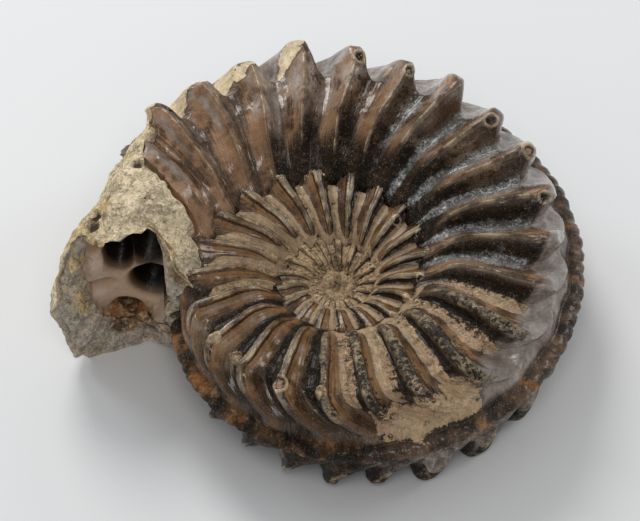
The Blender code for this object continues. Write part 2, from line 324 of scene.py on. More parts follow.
def spread(start, end, amount, crowded=()):
    """Evenly growing values from start to end, closer together round each (place, width, times)."""
    fine = np.linspace(start, end, 4001)
    density = np.ones_like(fine)
    for place, width, times in crowded:
        density += times * bump(place, width, fine)
    total = np.concatenate([[0.0], np.cumsum((density[1:] + density[:-1]) / 2.0)])
    return np.interp(np.linspace(0.0, total[-1], amount), total, fine)


def make_piece(name, points, marks, finish):
    """A closed piece from a grid bent to points, carrying marks as named values on its corners."""
    columns, rows = points.shape[0] - 1, points.shape[1] - 1
    bm = bmesh.new()
    bmesh.ops.create_grid(bm, x_segments=columns, y_segments=rows, size=1.0)
    mesh = bpy.data.meshes.new(name)
    bm.to_mesh(mesh)
    bm.free()
    flat = np.empty(len(mesh.vertices) * 3)
    mesh.vertices.foreach_get("co", flat)
    place = (flat.reshape(-1, 3)[:, :2] + 1.0) / 2.0 * (columns, rows)
    column, row = np.rint(place).astype(int).T
    mesh.vertices.foreach_set("co", settle(points)[column, row].astype(np.float32).ravel())
    for mark, values in marks.items():
        layer = mesh.attributes.new(mark, "FLOAT", "POINT")
        layer.data.foreach_set("value", np.ascontiguousarray(values[column, row], np.float32))
    bm = bmesh.new()
    bm.from_mesh(mesh)
    bmesh.ops.remove_doubles(bm, verts=bm.verts, dist=2e-7)
    bmesh.ops.dissolve_degenerate(bm, edges=bm.edges, dist=1e-8)
    bmesh.ops.recalc_face_normals(bm, faces=bm.faces)
    bm.to_mesh(mesh)
    bm.free()
    mesh.shade_smooth()
    mesh.set_sharp_from_angle(angle=math.radians(80.0))
    mesh.materials.append(bpy.data.materials.get(finish.__name__) or finish())
    old = bpy.data.objects.get(name)
    if old is not None:
        bpy.data.objects.remove(old)
    piece = bpy.data.objects.new(name, mesh)
    bpy.context.scene.collection.objects.link(piece)
    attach(piece, "root")
    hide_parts(NODE)
    return piece


# ---------------------------------------------------------------- the small forms of the shell
# coil angle in degrees, profile step, radius in units and state of the worn spines and the beads
SPINES = (
    (84.0, 0.98, 0.034, "cut"), (70.3, 0.98, 0.036, "amber"), (43.1, 0.96, 0.034, "cut"),
    (29.1, 1.16, 0.040, "amber"), (13.6, 1.11, 0.036, "cut"), (-108.2, 1.00, 0.042, "amber"),
    (-94.0, 1.02, 0.030, "bead"), (-129.5, 1.08, 0.030, "bead"), (-139.7, 0.99, 0.036, "bead"),
    (-315.5, 0.80, 0.024, "cut"), (-333.0, 1.12, 0.020, "cut"), (-368.0, 1.06, 0.020, "cut"),
    (-386.0, 0.95, 0.019, "bead"), (-403.0, 1.12, 0.018, "bead"), (-424.5, 1.08, 0.018, "bead"),
    (-444.6, 0.95, 0.017, "bead"), (-558.0, 1.14, 0.016, "cut"), (-689.0, 0.93, 0.011, "cut"),
)
SPINE_REACH = 14.0                              # degrees, beyond which a spine changes nothing
# profile step, rib count where the shell is broken off
SHELL_EDGE = ((0.0, -1.75), (0.08, -1.65), (0.17, -1.44), (0.28, -1.31), (0.51, -1.20),
              (0.65, -1.17), (0.79, -1.08), (0.92, -0.70), (0.99, -0.34), (1.17, -0.08), (1.3, 0.0),
              (1.6, 0.3), (2.2, 0.5), (3.0, 0.6))
# coil angle, profile step and the reach of both, of the stone left on the newest ribs
STONE_PATCHES = ((118.0, 1.45, 6.0, 0.22), (113.0, 1.09, 4.0, 0.10), (101.6, 1.22, 5.5, 0.20),
                 (78.3, 1.22, 2.2, 0.09), (130.0, 1.5, 8.0, 0.35), (137.0, 1.3, 4.0, 0.16))


def shell_edge(step):
    steps, counts = np.array(SHELL_EDGE).T
    torn = 0.07 * wobble(step * 3.0, 3.1, 5) + 0.04 * wobble(step * 3.0, 9.0, 6)
    return np.interp(step, steps, counts) + torn


def stretches(degrees):
    """How much each coil angle belongs to the stretches that look alike, and its strap's width."""
    inner = smoothstep(-178.0, -200.0, degrees)
    bar = window(-96.0, -24.0, 12.0, degrees)
    lumpy = smoothstep(-500.0, -560.0, degrees)
    return SimpleNamespace(
        inner=inner, bar=bar, lumpy=lumpy, width=0.074 + 0.05 * bar + 0.022 * inner + 0.09 * lumpy,
        twin=np.maximum(window(-176.0, -20.0, 14.0, degrees), inner),
        lower=window(-172.0, -92.0, 10.0, degrees), left=window(-226.0, -160.0, 7.0, degrees),
        upper=window(24.0, 112.0, 14.0, degrees), top=window(12.0, 170.0, 14.0, degrees),
        newest=smoothstep(86.0, 112.0, degrees))


def sediment_level(degrees, step, points):
    """How high, in rib relief, sediment fills the troughs."""
    lower = window(-92.0, -18.0, 9.0, degrees) * window(0.05, 1.35, 0.15, step)
    inner = smoothstep(-172.0, -200.0, degrees) * window(0.0, 1.0, 0.12, step)
    side = window(-60.0, -18.0, 8.0, degrees) * window(0.62, 1.1, 0.15, step)
    left = stretches(degrees).left * window(0.12, 0.86, 0.08, step)
    level = 0.17 * lower + 0.13 * inner + 0.06 * side + 0.20 * left
    return level * (1.0 + 0.9 * rough(points, 4.0, 3, 31))


def crest_lines(points, step, count, offset, at):
    """Height of the straps on the older crests and of the fine lines on the newer ones."""
    strap = window(0.14, 1.7, 0.12, step) * at.twin * (count > -0.5)
    rounded = np.exp(-(offset / at.width) ** 4) * (1.0 + 0.5 * noise(points, 9.0, 15))
    groove = bump(0.004, 0.36 * at.width, offset) * (0.7 + 0.9 * noise(points, 7.0, 16))
    height = (0.018 + 0.016 * at.lumpy) * rounded
    height = height - (0.014 + 0.012 * at.lumpy) * (1.0 - 0.8 * at.bar) * groove
    height = height - 0.010 * bump(at.width + 0.05, 0.04, offset)
    fine = (1.0 - at.twin) * window(0.2, 1.0, 0.15, step) * (count > -0.5)
    lines = bump(-0.03, 0.028, offset) - 0.9 * bump(0.055, 0.035, offset)
    lines = lines + 0.9 * bump(0.14, 0.035, offset) * (0.6 + noise(points, 6.0, 19))
    return strap * height + 0.009 * fine * lines


def wear(points, degrees, step, offset):
    """Height of the crust at the seams and the crumbs of the first whorls, less what is worn off."""
    seam = bump(0.0, 0.07, step) + smoothstep(1.0, 1.12, step) * smoothstep(-178.0, -190.0, degrees)
    thick = 0.014 + 0.020 * window(-300.0, -235.0, 10.0, degrees) * (step > 0.5)
    crust = thick * seam * np.clip(rough(points, 26.0, 3, 17) + 0.25, 0.0, 1.0)
    crumbs = 0.055 * smoothstep(-560.0, -760.0, degrees) * rough(points, 26.0, 4, 23)
    pits = 0.010 * np.clip(rough(points, 30.0, 3, 24) - 0.1, 0.0, 1.0) * smoothstep(0.03, 0.12, offset)
    rubbed = 0.010 * smoothstep(0.25, 0.6, noise(points, 7.0, 18)) * window(0.3, 1.2, 0.2, step)
    return crust + crumbs - pits - rubbed


def spine_marks(points, degrees):
    """The collars and bores of the cut spines, a bore being 2 where it glows, and the beads."""
    ring, bore, bead = (np.zeros_like(degrees) for _ in range(3))
    for place, spot_step, radius, state in SPINES:
        near = np.abs(degrees - place) < SPINE_REACH
        if not near.any():
            continue
        spot_angle = np.radians([place])
        spot = polar(spot_angle, *whorl_point(spot_angle, spot_step))[0]
        away = np.linalg.norm(points - spot, axis=-1) / radius
        if state == "bead":
            bead = np.maximum(bead, near * np.sqrt(np.clip(1.0 - (away / 1.15) ** 2, 0.0, 1.0)))
        else:
            inside = near * (1.0 - smoothstep(0.45, 0.85, away))
            ring = np.maximum(ring, near * bump(0.95, 0.28, away))
            bore = np.maximum(bore, inside * (2.0 if state == "amber" else 1.0))
    return {"ring": ring, "bore": bore, "bead": bead}


def shell_detail(points, angle, step, count):
    """Height of the small forms above the plain whorl, and the marks of its spines."""
    degrees = np.degrees(angle)
    _, offset, across = rib_parts(count)
    lumps = 0.006 * rough(points, 5.0, 3, 11) + 0.0030 * rough(points, 22.0, 3, 12)
    lines = 0.0016 * np.sin(FULL_TURN * count * 11.0 + 5.0 * noise(points, 6.0, 13))
    lines = lines * smoothstep(0.06, 0.3, across) * (0.6 + 0.4 * noise(points, 3.0, 14))
    spines = spine_marks(points, degrees)
    height = lumps + lines + crest_lines(points, step, count, offset, stretches(degrees))
    height = height + wear(points, degrees, step, offset)
    height = height + 0.016 * spines["bead"] + 0.008 * spines["ring"]
    height = height - 0.016 * np.clip(spines["bore"], 0.0, 1.0)
    return height * growth(angle), spines


def keel_crown(angle):
    """Radius of the older whorl's keel under a coil angle."""
    older = angle - FULL_TURN
    radius, _ = whorl_point(np.maximum(older, CORE_ANGLE), 3.0)
    return np.where(older > CORE_ANGLE, radius, 0.0)


# ---------------------------------------------------------------- what each spot of the shell carries
def amber_mark(at, rib, degrees, step):
    """How warm the slopes are: the shell's own amber, with painted light warming the forward slopes."""
    # painted light: the forward slopes and the band beside each crest are painted warmer and lighter as their
    # lit side
    amber = 0.35 * rib.forward + 0.75 * rib.glow + 0.28 * at.newest + 0.32 * at.top
    amber = amber + 0.30 * at.lower * (1.0 - rib.behind) * (0.4 + rib.glow)
    amber = amber - 0.25 * at.newest * rib.trough + 0.45 * window(-400.0, -330.0, 15.0, degrees)
    amber = amber + 0.15 * smoothstep(-175.0, -190.0, degrees) * (1.0 - rib.trough)
    amber = amber - 0.45 * smoothstep(0.75, 1.2, step) + 0.4 * rib.smooth_end
    return amber + 0.55 * at.lower * smoothstep(2.3, 2.6, step)


def black_mark(at, rib, degrees, step, side):
    """How dark the shell is: its own dark film, with painted shade on the steep backs of the ribs, in the
    troughs, the seam and the far flank.
    """
    back = (1.0 - 0.40 * at.newest) * (1.0 - 0.58 * at.upper * smoothstep(0.35, 0.7, step))
    hollow = (1.0 - 0.3 * at.newest) * (1.0 - 0.5 * at.upper * smoothstep(0.45, 0.9, step))
    # in the lower left: painted shade in the troughs and behind the crests, with dark patches of the shell's
    # own film
    low = 0.18 + (0.50 * rib.trough + 0.45 * rib.behind) * (step < 2.2)
    low = low + 0.75 * smoothstep(-0.36, -0.56, rib.offset) * window(0.10, 1.0, 0.15, step)
    low = low + 0.35 * window(0.25, 0.95, 0.15, step) * bump(0.30, 0.12, rib.offset)
    low = low + 0.45 * smoothstep(0.75, 0.45, step) * rib.behind
    # painted shade on the steep backs of the ribs and in their troughs, over the shell's own dark film
    black = 0.85 * rib.behind * back + 0.45 * rib.trough * hollow + at.lower * low
    # painted shade in the seam at the top of the coil
    black = black + 1.05 * (1.0 - smoothstep(0.12, 0.50, step)) * window(14.0, 118.0, 14.0, degrees)
    # painted shadow on the shoulder below the stone's rim
    black = black + 0.7 * blot(degrees, step, -166.0, 1.15, 9.0, 0.35)
    black = black * (1.0 - 0.35 * smoothstep(-180.0, -300.0, degrees))
    black = black * (1.0 - 0.75 * rib.belly) * (1.0 - 0.8 * rib.smooth_end)
    black = black - 0.35 * at.bar * bump(0.0, 0.16, rib.offset) * (step < 1.5)
    # painted shade: the far flank, lying towards the table, is darkened all over
    if side < 0.0:
        black = 0.80 + 0.4 * black
    # painted shade along the belly at the bottom of the coil
    return black + 0.5 * window(-150.0, -80.0, 10.0, degrees) * rib.belly


def mauve_mark(at, rib, degrees, step, count):
    """How much translucent grey film lies over the shoulders and belly, and how much painted sheen along the
    slopes.
    """
    shoulder = smoothstep(1.04, 1.30, step + 0.10 * np.sin(FULL_TURN * count * 3.0))
    # painted sheen: a grey reflection band along the forward slope near each crest
    sheen = bump(-0.20, 0.10, rib.offset) * window(0.5, 1.0, 0.12, step)
    mauve = shoulder * smoothstep(-60.0, 10.0, degrees) * (0.80 + 0.15 * at.newest)
    mauve = mauve + 0.85 * sheen * window(88.0, 156.0, 10.0, degrees)
    # painted sheen on the backs of the newest ribs and on the smooth shell by the broken edge
    mauve = mauve + 0.60 * rib.behind * at.newest * window(0.35, 1.0, 0.2, step)
    mauve = mauve + 0.45 * rib.smooth_end * window(0.3, 1.0, 0.2, step)
    right = window(-75.0, 25.0, 16.0, degrees) * (1.0 - 0.3 * rib.trough)
    mauve = mauve + 0.85 * smoothstep(1.0, 1.4, step) * right
    low = 0.45 * smoothstep(1.1, 1.4, step) * (1.0 - rib.belly) * (1.0 - rib.trough)
    # painted sheen: a pinkish-grey reflection band along the forward slopes of the lower left
    low = low + 0.55 * bump(-0.24, 0.08, rib.offset) * window(0.3, 1.05, 0.15, step)
    # painted sheen over the upper ribs, outside the band of painted light
    upper = window(36.0, 112.0, 14.0, degrees) * window(0.50, 1.1, 0.2, step)
    return mauve + at.lower * low + 0.40 * upper * (1.0 - rib.glow)


def tan_mark(rib, degrees, step, filled, side):
    """Where silt and stone hide the shell."""
    if side < 0.0:
        return 0.15 * rib.trough
    tan = 0.85 * filled + 0.45 * bump(0.0, 0.06, step)
    tan = tan + 0.85 * window(-78.0, -46.0, 7.0, degrees) * window(1.3, 2.7, 0.3, step)
    for patch in STONE_PATCHES:
        tan = tan + 0.95 * blot(degrees, step, *patch)
    return tan


def line_marks(at, rib, step):
    """The pale lines and worn tops of the crests, and the dark lines beside the straps."""
    drawn = (1.0 - rib.smooth_end) * (rib.number > -1.0)
    crest = bump(-0.022, 0.026 - 0.006 * at.newest, rib.offset) * (1.0 - 0.35 * at.newest)
    crest = crest * smoothstep(0.08, 0.3, step) * (1.0 - 0.9 * smoothstep(0.95, 1.15, step))
    lips = bump(-0.8 * at.width, 0.25 * at.width, rib.offset)
    lips = lips + 0.8 * bump(0.85 * at.width, 0.25 * at.width, rib.offset)
    lips = lips * (1.0 - 0.6 * at.bar) * (1.0 - 0.22 * at.lower) * at.twin
    pale = crest * (1.0 - 0.85 * at.twin) + lips * window(0.12, 1.6, 0.15, step)
    fine = (1.0 - at.twin) * bump(0.01, 0.075, rib.offset) * window(0.15, 1.0, 0.15, step)
    worn = at.twin * bump(0.0, 0.8 * at.width, rib.offset) * window(0.12, 1.7, 0.2, step)
    beside = bump(-at.width - 0.035, 0.026, rib.offset)
    beside = beside + 1.2 * bump(at.width + 0.055, 0.045, rib.offset)
    beside = beside * at.twin * window(0.05, 1.5, 0.15, step) * (1.0 + 0.5 * at.inner)
    return {"pale": pale * drawn, "slate": (worn + 0.8 * fine) * drawn, "outline": beside}


def speck_mark(at, rib, degrees, step, smooth):
    """Where black specks gather."""
    speck = at.bar * (step < 1.5) * (0.22 + 0.75 * bump(0.0, 0.2, rib.offset))
    speck = speck + at.inner * (0.6 * rib.behind + 0.35 * rib.forward)
    steep = rib.trough + rib.behind + smoothstep(-0.30, -0.50, rib.offset)
    speck = speck + 0.65 * at.lower * steep * (step < 1.3)
    speck = speck + 0.6 * window(-40.0, 100.0, 10.0, degrees) * rib.behind * (step < 1.1)
    return speck * (1.0 - 0.9 * smooth)


def shell_marks(angle, step, count, filled, side):
    """How much of each colour every spot of the shell carries."""
    degrees = np.degrees(angle)
    at = stretches(degrees)
    number, offset, across = rib_parts(count)
    rib = SimpleNamespace(
        number=number, offset=offset, trough=smoothstep(0.80, 1.0, across),
        forward=smoothstep(-0.62, -0.40, offset) * (1.0 - smoothstep(-0.10, 0.0, offset)),
        behind=smoothstep(0.03, 0.12, offset) * (1.0 - 0.5 * smoothstep(0.27, 0.37, offset)),
        # the band beside each crest that gets painted light, warmer than the rest of the slope
        glow=bump(-0.17, 0.13, offset), belly=smoothstep(1.35, 1.75, step),
        smooth_end=smoothstep(-0.35, -0.75, count))
    # blue-grey in the troughs and behind the ribs: real dust and crackle, partly painted sheen for the glossy
    # troughs
    dust = smoothstep(0.42, 0.85, across) + 0.20 * rib.behind
    dust = dust * window(-42.0, 70.0, 12.0, degrees) * window(0.0, 1.0, 0.14, step)
    dust = dust + 0.20 * at.top * rib.trough * smoothstep(0.4, 0.6, step) + 0.15 * at.lower * rib.behind
    smooth = at.left * filled
    return {
        "turn": angle / FULL_TURN, "step": step, "rib": count,
        "amber": amber_mark(at, rib, degrees, step), "black": black_mark(at, rib, degrees, step, side),
        "mauve": mauve_mark(at, rib, degrees, step, count),
        "tan": tan_mark(rib, degrees, step, filled, side), "dust": dust,
        "speck": speck_mark(at, rib, degrees, step, smooth), "smooth": smooth,
        "stained": at.bar + 0.12, "keel": smoothstep(2.45, 2.75, step),
        "crumbly": smoothstep(-470.0, -600.0, degrees), **line_marks(at, rib, step)}


# ---------------------------------------------------------------- half whorls
def far_foot(counts, side):
    """Rows that carry a half whorl on, round the keel's crown to its far foot."""
    beyond = np.linspace(3.0, 2.70, 8)[None, 1:]
    angle = along_rib(counts[:, -1:], beyond)
    radius, height = whorl_point(angle, beyond, counts[:, -1:])
    return polar(angle, radius, -side * height)


def whorl_piece(name, counts, steps, side, crowned=False, broken=False):
    """Half a stretch of whorl, counts by columns and steps by rows, closed on the median plane."""
    counts, step = np.broadcast_arrays(counts, steps[None, :])
    angle = along_rib(counts, step)
    size = growth(angle)
    radius, height = whorl_point(angle, step, counts)
    plain = polar(angle, radius, side * height)
    fill = np.clip(sediment_level(np.degrees(angle), step, plain), 0.0, 1.0)
    if side < 0.0:
        fill = fill * 0.5
    own = plain / size[..., None]
    wander = 0.045 * noise(own, 4.5, 21) + 0.020 * noise(own, 13.0, 22)
    wander = wander * smoothstep(0.1, 0.4, step) * (np.abs(counts - OUTER_WHORL_START) > 0.3)
    count = counts + wander
    radius, height = whorl_point(angle, step, count, fill=fill)
    points = polar(angle, radius, side * height)
    raised, spines = shell_detail(points, angle, step, count)
    filled = smoothstep(0.02, -0.03, rib_relief(count, step) - fill) * (fill > 0.02)
    raised = raised + 0.005 * filled * rough(points, 16.0, 3, 41) * size
    points = points + outward(points, inside_out=side > 0.0) * raised[..., None]
    marks = {**shell_marks(angle, step, count, filled, side), **spines}

    if crowned:
        points = np.concatenate([points, far_foot(counts, side)], axis=1)
    crown = polar(angle[:, -1:], keel_crown(angle[:, -1:]) * 1.005, 0.0)
    points = np.concatenate([points, crown, points[:, :1]], axis=1)
    extra = points.shape[1] - step.shape[1]

    middle = polar(angle[:, :1], 0.8 * growth(angle[:, :1]), 0.0)
    caps = [np.broadcast_to(middle[:1], points[:1].shape), points]
    if broken:
        edge_angle = np.pad(angle[-1:], ((0, 0), (0, extra)), mode="edge")
        heart = polar(edge_angle, SECTION_CENTRE * growth(angle[-1:, :1]), 0.0)
        caps.append(points[-1:] + (heart - points[-1:]) * 0.05)
    caps.append(np.broadcast_to(middle[-1:], points[-1:].shape))
    around = ((1, len(caps) - 2), (0, extra))
    marks = {mark: np.pad(values, around, mode="edge") for mark, values in marks.items()}
    return make_piece(name, np.concatenate(caps, axis=0), marks, shell_finish)


def rib_columns(oldest, newest, per_rib):
    """Rib counts from the oldest column to the newest, closer on each crest."""
    crests = [(float(rib), 0.10, 1.6) for rib in range(math.ceil(newest), math.floor(oldest) + 1)]
    return spread(oldest, newest, round((oldest - newest) * per_rib) + 1, crests)[:, None]


def outer_counts(steps, per_rib):
    """Rib counts of the outer whorl's columns, the newest of them running along the torn edge."""
    whole = rib_columns(OUTER_WHORL_START, 1.0, per_rib)
    share = np.linspace(0.0, 1.0, 2 * per_rib + 1)[1:, None]
    torn = 1.0 + (shell_edge(steps) - 1.0) * share
    return np.concatenate([np.broadcast_to(whole, (whole.size, steps.size)), torn])


# ---------------------------------------------------------------- the stone filling and its broken end
# profile step, coil angle of the broken rim in degrees
NEAR_RIM = ((0.0, 193.0), (0.13, 187.9), (0.24, 183.6), (0.35, 178.8), (0.38, 176.1), (0.45, 174.0),
            (0.51, 176.7), (0.59, 177.9), (0.68, 181.0), (0.82, 179.9), (0.96, 179.0), (1.3, 180.0),
            (2.0, 182.5), (3.0, 184.0))
FAR_RIM = ((0.0, 190.0), (0.3, 183.0), (0.55, 178.0), (0.8, 181.5), (1.0, 183.0), (1.3, 184.0),
           (3.0, 184.0))
UNDER_RIM = 190.0                               # degrees, where the rim crosses the older keel
FILLING_START = math.radians(112.0)
FILLING_SUNK = 0.90                             # how much narrower it is under the shell
RIM_STRIP = (0.02, 0.46, 0.05)                  # profile steps from and to, and their softness
# radius and height, in units
HOLLOW_CENTRE = (1.02, 0.06)
HOLLOW_EDGE = ((1.215, 0.225), (1.18, 0.33), (1.094, 0.394), (1.04, 0.400), (0.978, 0.42),
               (0.906, 0.437), (0.840, 0.34), (0.828, 0.20), (0.842, 0.016), (0.835, -0.06),
               (0.845, -0.12), (0.905, -0.156), (0.95, -0.22), (1.02, -0.275), (1.10, -0.22),
               (1.145, -0.143), (1.17, -0.08), (1.195, 0.03), (1.21, 0.12))
PARTITION_ANGLE = math.radians(181.0)           # from which the partition's depth is measured
DEPTH_SPAN = math.radians(18.0)                 # of a depth mark of 1
# radius, height, half widths both ways, degrees deep or high
PARTITION_LOBES = ((0.900, 0.300, 0.088, 0.125, 10.0), (1.045, 0.255, 0.060, 0.115, 10.0),
                   (0.888, 0.035, 0.090, 0.088, 11.0), (1.160, 0.015, 0.070, 0.045, 3.2),
                   (1.035, -0.230, 0.080, 0.085, 6.5), (1.150, 0.230, 0.050, 0.050, 1.2))
# the deepest lobes of the partition, which get very dark painted shade
SHADED_LOBES = tuple((*place[:4], 1.0) for place in PARTITION_LOBES if place[4] > 9.0)
RIM_HOLES = ((0.895, -0.240, 0.040, 0.045, 5.0), (0.915, -0.340, 0.035, 0.035, 6.0))
RIM_LUMPS = ((1.255, 0.300, 0.026, 0.030, 4.2), (1.225, 0.275, 0.022, 0.025, 3.4),
             (1.240, 0.060, 0.024, 0.050, 4.4), (1.222, 0.010, 0.022, 0.030, 3.6),
             (1.17, 0.42, 0.03, 0.03, 2.2), (1.12, 0.42, 0.02, 0.02, 2.0))
# coil angle, profile step, radius, depth, all on the stone's flank
STONE_PITS = ((155.0, 0.89, 0.030, 0.026), (168.3, 1.01, 0.022, 0.030), (172.4, 0.97, 0.024, 0.034),
              (175.8, 0.92, 0.030, 0.036), (158.9, 0.47, 0.010, 0.012), (163.0, 0.80, 0.008, 0.010),
              (150.5, 0.70, 0.010, 0.008), (165.5, 0.62, 0.008, 0.008))
# coil angles and profile steps of two lines across the stone's flank
FOLD = ((160.0, 166.0, 167.1, 172.2, 180.0), (0.30, 0.36, 0.53, 0.65, 0.70))
LEDGE = ((150.0, 168.3, 177.7), (1.12, 0.97, 0.78))


def spot_field(places, radius, height, power=2.0):
    """Depth of the deepest of several round forms at a radius and height."""
    depth = np.zeros_like(radius)
    for spot_radius, spot_height, half_width, half_height, deep in places:
        away = np.hypot((radius - spot_radius) / half_width, (height - spot_height) / half_height)
        depth = np.maximum(depth, deep * np.exp(-away ** (2.0 * power)))
    return depth


def partition_angle(radius, height):
    """Coil angle of the smooth lobed partition that closes the hollow."""
    shallow = 2.4 * smoothstep(1.05, 1.20, radius)
    shallow = shallow + smoothstep(0.0, -0.2, height) * smoothstep(0.95, 0.86, radius)
    depth = 3.9 - shallow + spot_field(PARTITION_LOBES, radius, height, 1.5)
    return PARTITION_ANGLE - np.radians(depth)


def filling_ring():
    """Profile step, side, whether it lies over the older keel, and rim angle, round the filling."""
    near = spread(0.0, 3.0, 150, ((0.5, 0.4, 1.2), (1.0, 0.3, 0.8)))
    far = spread(3.0, 0.0, 90)[1:]
    under = np.linspace(-1.0, 1.0, 52)[1:]
    step = np.concatenate([near, far, 3.0 - np.abs(under) * (3.0 - SEAM_STEP)])
    side = np.concatenate([np.ones(near.size), -np.ones(far.size), np.sign(under)])
    below = np.concatenate([np.zeros(near.size + far.size), np.ones(under.size)])
    rim = np.concatenate([np.interp(near, *np.array(NEAR_RIM).T), np.interp(far, *np.array(FAR_RIM).T),
                          UNDER_RIM + 1.5 * under])
    spot = np.stack([step * 2.0 + 10.0 * (side < 0), below * 5.0, 0.0 * step], axis=-1)
    rim = np.radians(rim + 0.9 * rough(spot, 3.0, 4, 51) * (1.0 - below))
    return SimpleNamespace(step=step, side=side, below=below > 0.5, rim=rim)


def filling_outside(angle, step, side, below):
    """Radius, signed height and bareness of the filling's outer surface."""
    count = rib_count(angle - rib_lean(angle, step))
    bare = smoothstep(0.0, 0.34, shell_edge(step) - count)
    radius, height = whorl_point(angle, step, count)
    middle = SECTION_CENTRE * growth(angle)
    radius, height = middle + (radius - middle) * FILLING_SUNK, height * FILLING_SUNK
    stone_radius, stone_height = whorl_point(angle, step, count, stone=True)
    radius, height = radius + (stone_radius - radius) * bare, height + (stone_height - height) * bare
    under_radius, under_height = whorl_point(angle - FULL_TURN, step)
    radius = np.where(below, under_radius + 0.004, radius)
    height = np.where(below, under_height, height)
    return radius, height * side, np.where(below, 0.0, bare)


def stone_pits(points):
    """Height lost to the round pits of the stone's flank, and how deep in one each spot lies."""
    loss, pit = np.zeros(points.shape[:-1]), np.zeros(points.shape[:-1])
    uneven = 1.0 + 0.45 * noise(points, 22.0, 66)
    for place, spot_step, reach, deep in STONE_PITS:
        spot_angle = np.radians([place])
        radius, height, _ = filling_outside(spot_angle, np.array([spot_step]), 1.0, False)
        away = np.linalg.norm(points - polar(spot_angle, radius, height)[0], axis=-1) / reach * uneven
        inside = np.exp(-away ** 4)
        loss = loss + deep * inside - 0.25 * deep * bump(1.25, 0.3, away)
        pit = np.maximum(pit, inside)
    return loss, pit


def filling_flank(ring):
    """The filling's outer surface up to its broken rim: points, marks and the rim's plain height."""
    step, near = ring.step, (ring.side > 0) & ~ring.below
    share = spread(0.0, 1.0, 150, ((1.0, 0.35, 2.2),))[:, None]
    angle = FILLING_START + (ring.rim - FILLING_START) * share
    radius, height, bare = filling_outside(angle, step, ring.side, ring.below)
    points = polar(angle, radius, height)
    degrees, to_rim = np.degrees(angle), (ring.rim - angle) * growth(angle)

    pocks = np.clip(noise(points, 26.0, 63) - 0.45, 0.0, 1.0)
    pocks = pocks * np.clip(0.5 + noise(points, 5.0, 64), 0.0, 1.0)
    loss, pit = stone_pits(points)
    relief = 0.014 * rough(points, 4.0, 3, 61) + 0.026 * rough(points, 11.0, 5, 62)
    relief = relief - 0.022 * pocks - loss
    fold, ledge = np.interp(degrees, *FOLD), np.interp(degrees, *LEDGE)
    forms = 0.010 * bump(fold, 0.05, step) * window(164.0, 177.0, 3.0, degrees)
    drop = 0.006 * smoothstep(-0.03, 0.05, step - ledge) + 0.020 * bump(ledge, 0.020, step)
    forms = forms - drop * window(161.0, 182.0, 4.0, degrees)
    forms = forms + 0.026 * blot(degrees, step, 163.0, 0.72, 9.0, 0.30)
    forms = forms - 0.020 * blot(degrees, step, 172.0, 0.42, 4.0, 0.12)
    forms = forms + 0.020 * smoothstep(0.9, 1.1, step) * rough(points, 11.0, 3, 65)
    strip = bump(0.020, 0.016, to_rim) * window(*RIM_STRIP, step)
    forms = forms + 0.014 * strip - 0.010 * bump(0.055, 0.014, to_rim) * window(*RIM_STRIP, step)
    relief = (relief + near * forms) * bare
    spike = bump(-0.03, 0.035, height) * smoothstep(179.5, 183.5, degrees) * (radius > 1.2)
    raised = points + outward(points, inside_out=True) * relief[..., None]
    raised = raised + polar(angle, 0.020 * spike * ~ring.below, 0.0)
    # the pit mark tells where the pits and pocks get painted shade
    marks = {"pit": np.maximum(1.2 * pocks, pit) * bare, "strip": near * strip}
    return raised, marks, height[-1]


def from_hollow(around, reach):
    """Radius and height at a direction and a reach from the hollow's centre."""
    centre_radius, centre_height = HOLLOW_CENTRE
    return centre_radius + reach * np.cos(around), centre_height + reach * np.sin(around)


def hollow_edge(rim_radius, rim_height):
    """Directions of the rim's corners from the hollow's centre, its own reach and the rim's."""
    centre_radius, centre_height = HOLLOW_CENTRE
    around = np.arctan2(rim_height - centre_height, rim_radius - centre_radius)
    rim_reach = np.hypot(rim_height - centre_height, rim_radius - centre_radius)
    out, up = (np.array(HOLLOW_EDGE) - HOLLOW_CENTRE).T
    edge_around, edge_reach = np.arctan2(up, out), np.hypot(up, out)
    order = np.argsort(edge_around)
    reach = np.interp(around, edge_around[order], edge_reach[order], period=FULL_TURN)
    return around, np.minimum(reach + 0.006 * wobble(around * 4.0, 2.0, 71), rim_reach - 0.012), rim_reach


def rim_face(ring, rim_radius, rim_height, around, reach, rim_reach):
    """The broken face from the rim to the hollow's edge: coil angle, radius and height, and marks."""
    inner_radius, inner_height = from_hollow(around, reach)
    thick = np.clip((rim_reach - reach) / 0.10, 0.0, 1.0)
    across = np.linspace(0.0, 1.0, 34)[1:, None]
    radius = rim_radius + (inner_radius - rim_radius) * across
    height = rim_height + (inner_height - rim_height) * across
    angle = ring.rim - np.radians(0.4 + 2.2 * thick) * across
    lumps = spot_field(RIM_LUMPS, radius, height)
    holes = spot_field(RIM_HOLES, radius, height, 1.4)
    swell = (1.1 * np.sin(math.pi * across) - 0.8 * bump(0.16, 0.05, across)) * thick + lumps - holes
    swell = swell + 1.3 * rough(polar(angle, radius, height), 9.0, 4, 72) * (0.25 + thick)
    angle = angle + np.radians(swell * np.minimum(1.0, across * 8.0))
    near = (ring.side > 0) & ~ring.below
    lip = smoothstep(0.45, 0.80, across) * smoothstep(-0.10, -0.20, height)
    return angle, radius, height, {
        "face": across, "pit": np.clip(holes / 4.0, 0.0, 1.0), "lump": np.clip(lumps / 2.0, 0.0, 1.0),
        "strip": window(*RIM_STRIP, ring.step) * near * (1.0 - across),
        "lip": lip * smoothstep(1.16, 1.06, radius)}


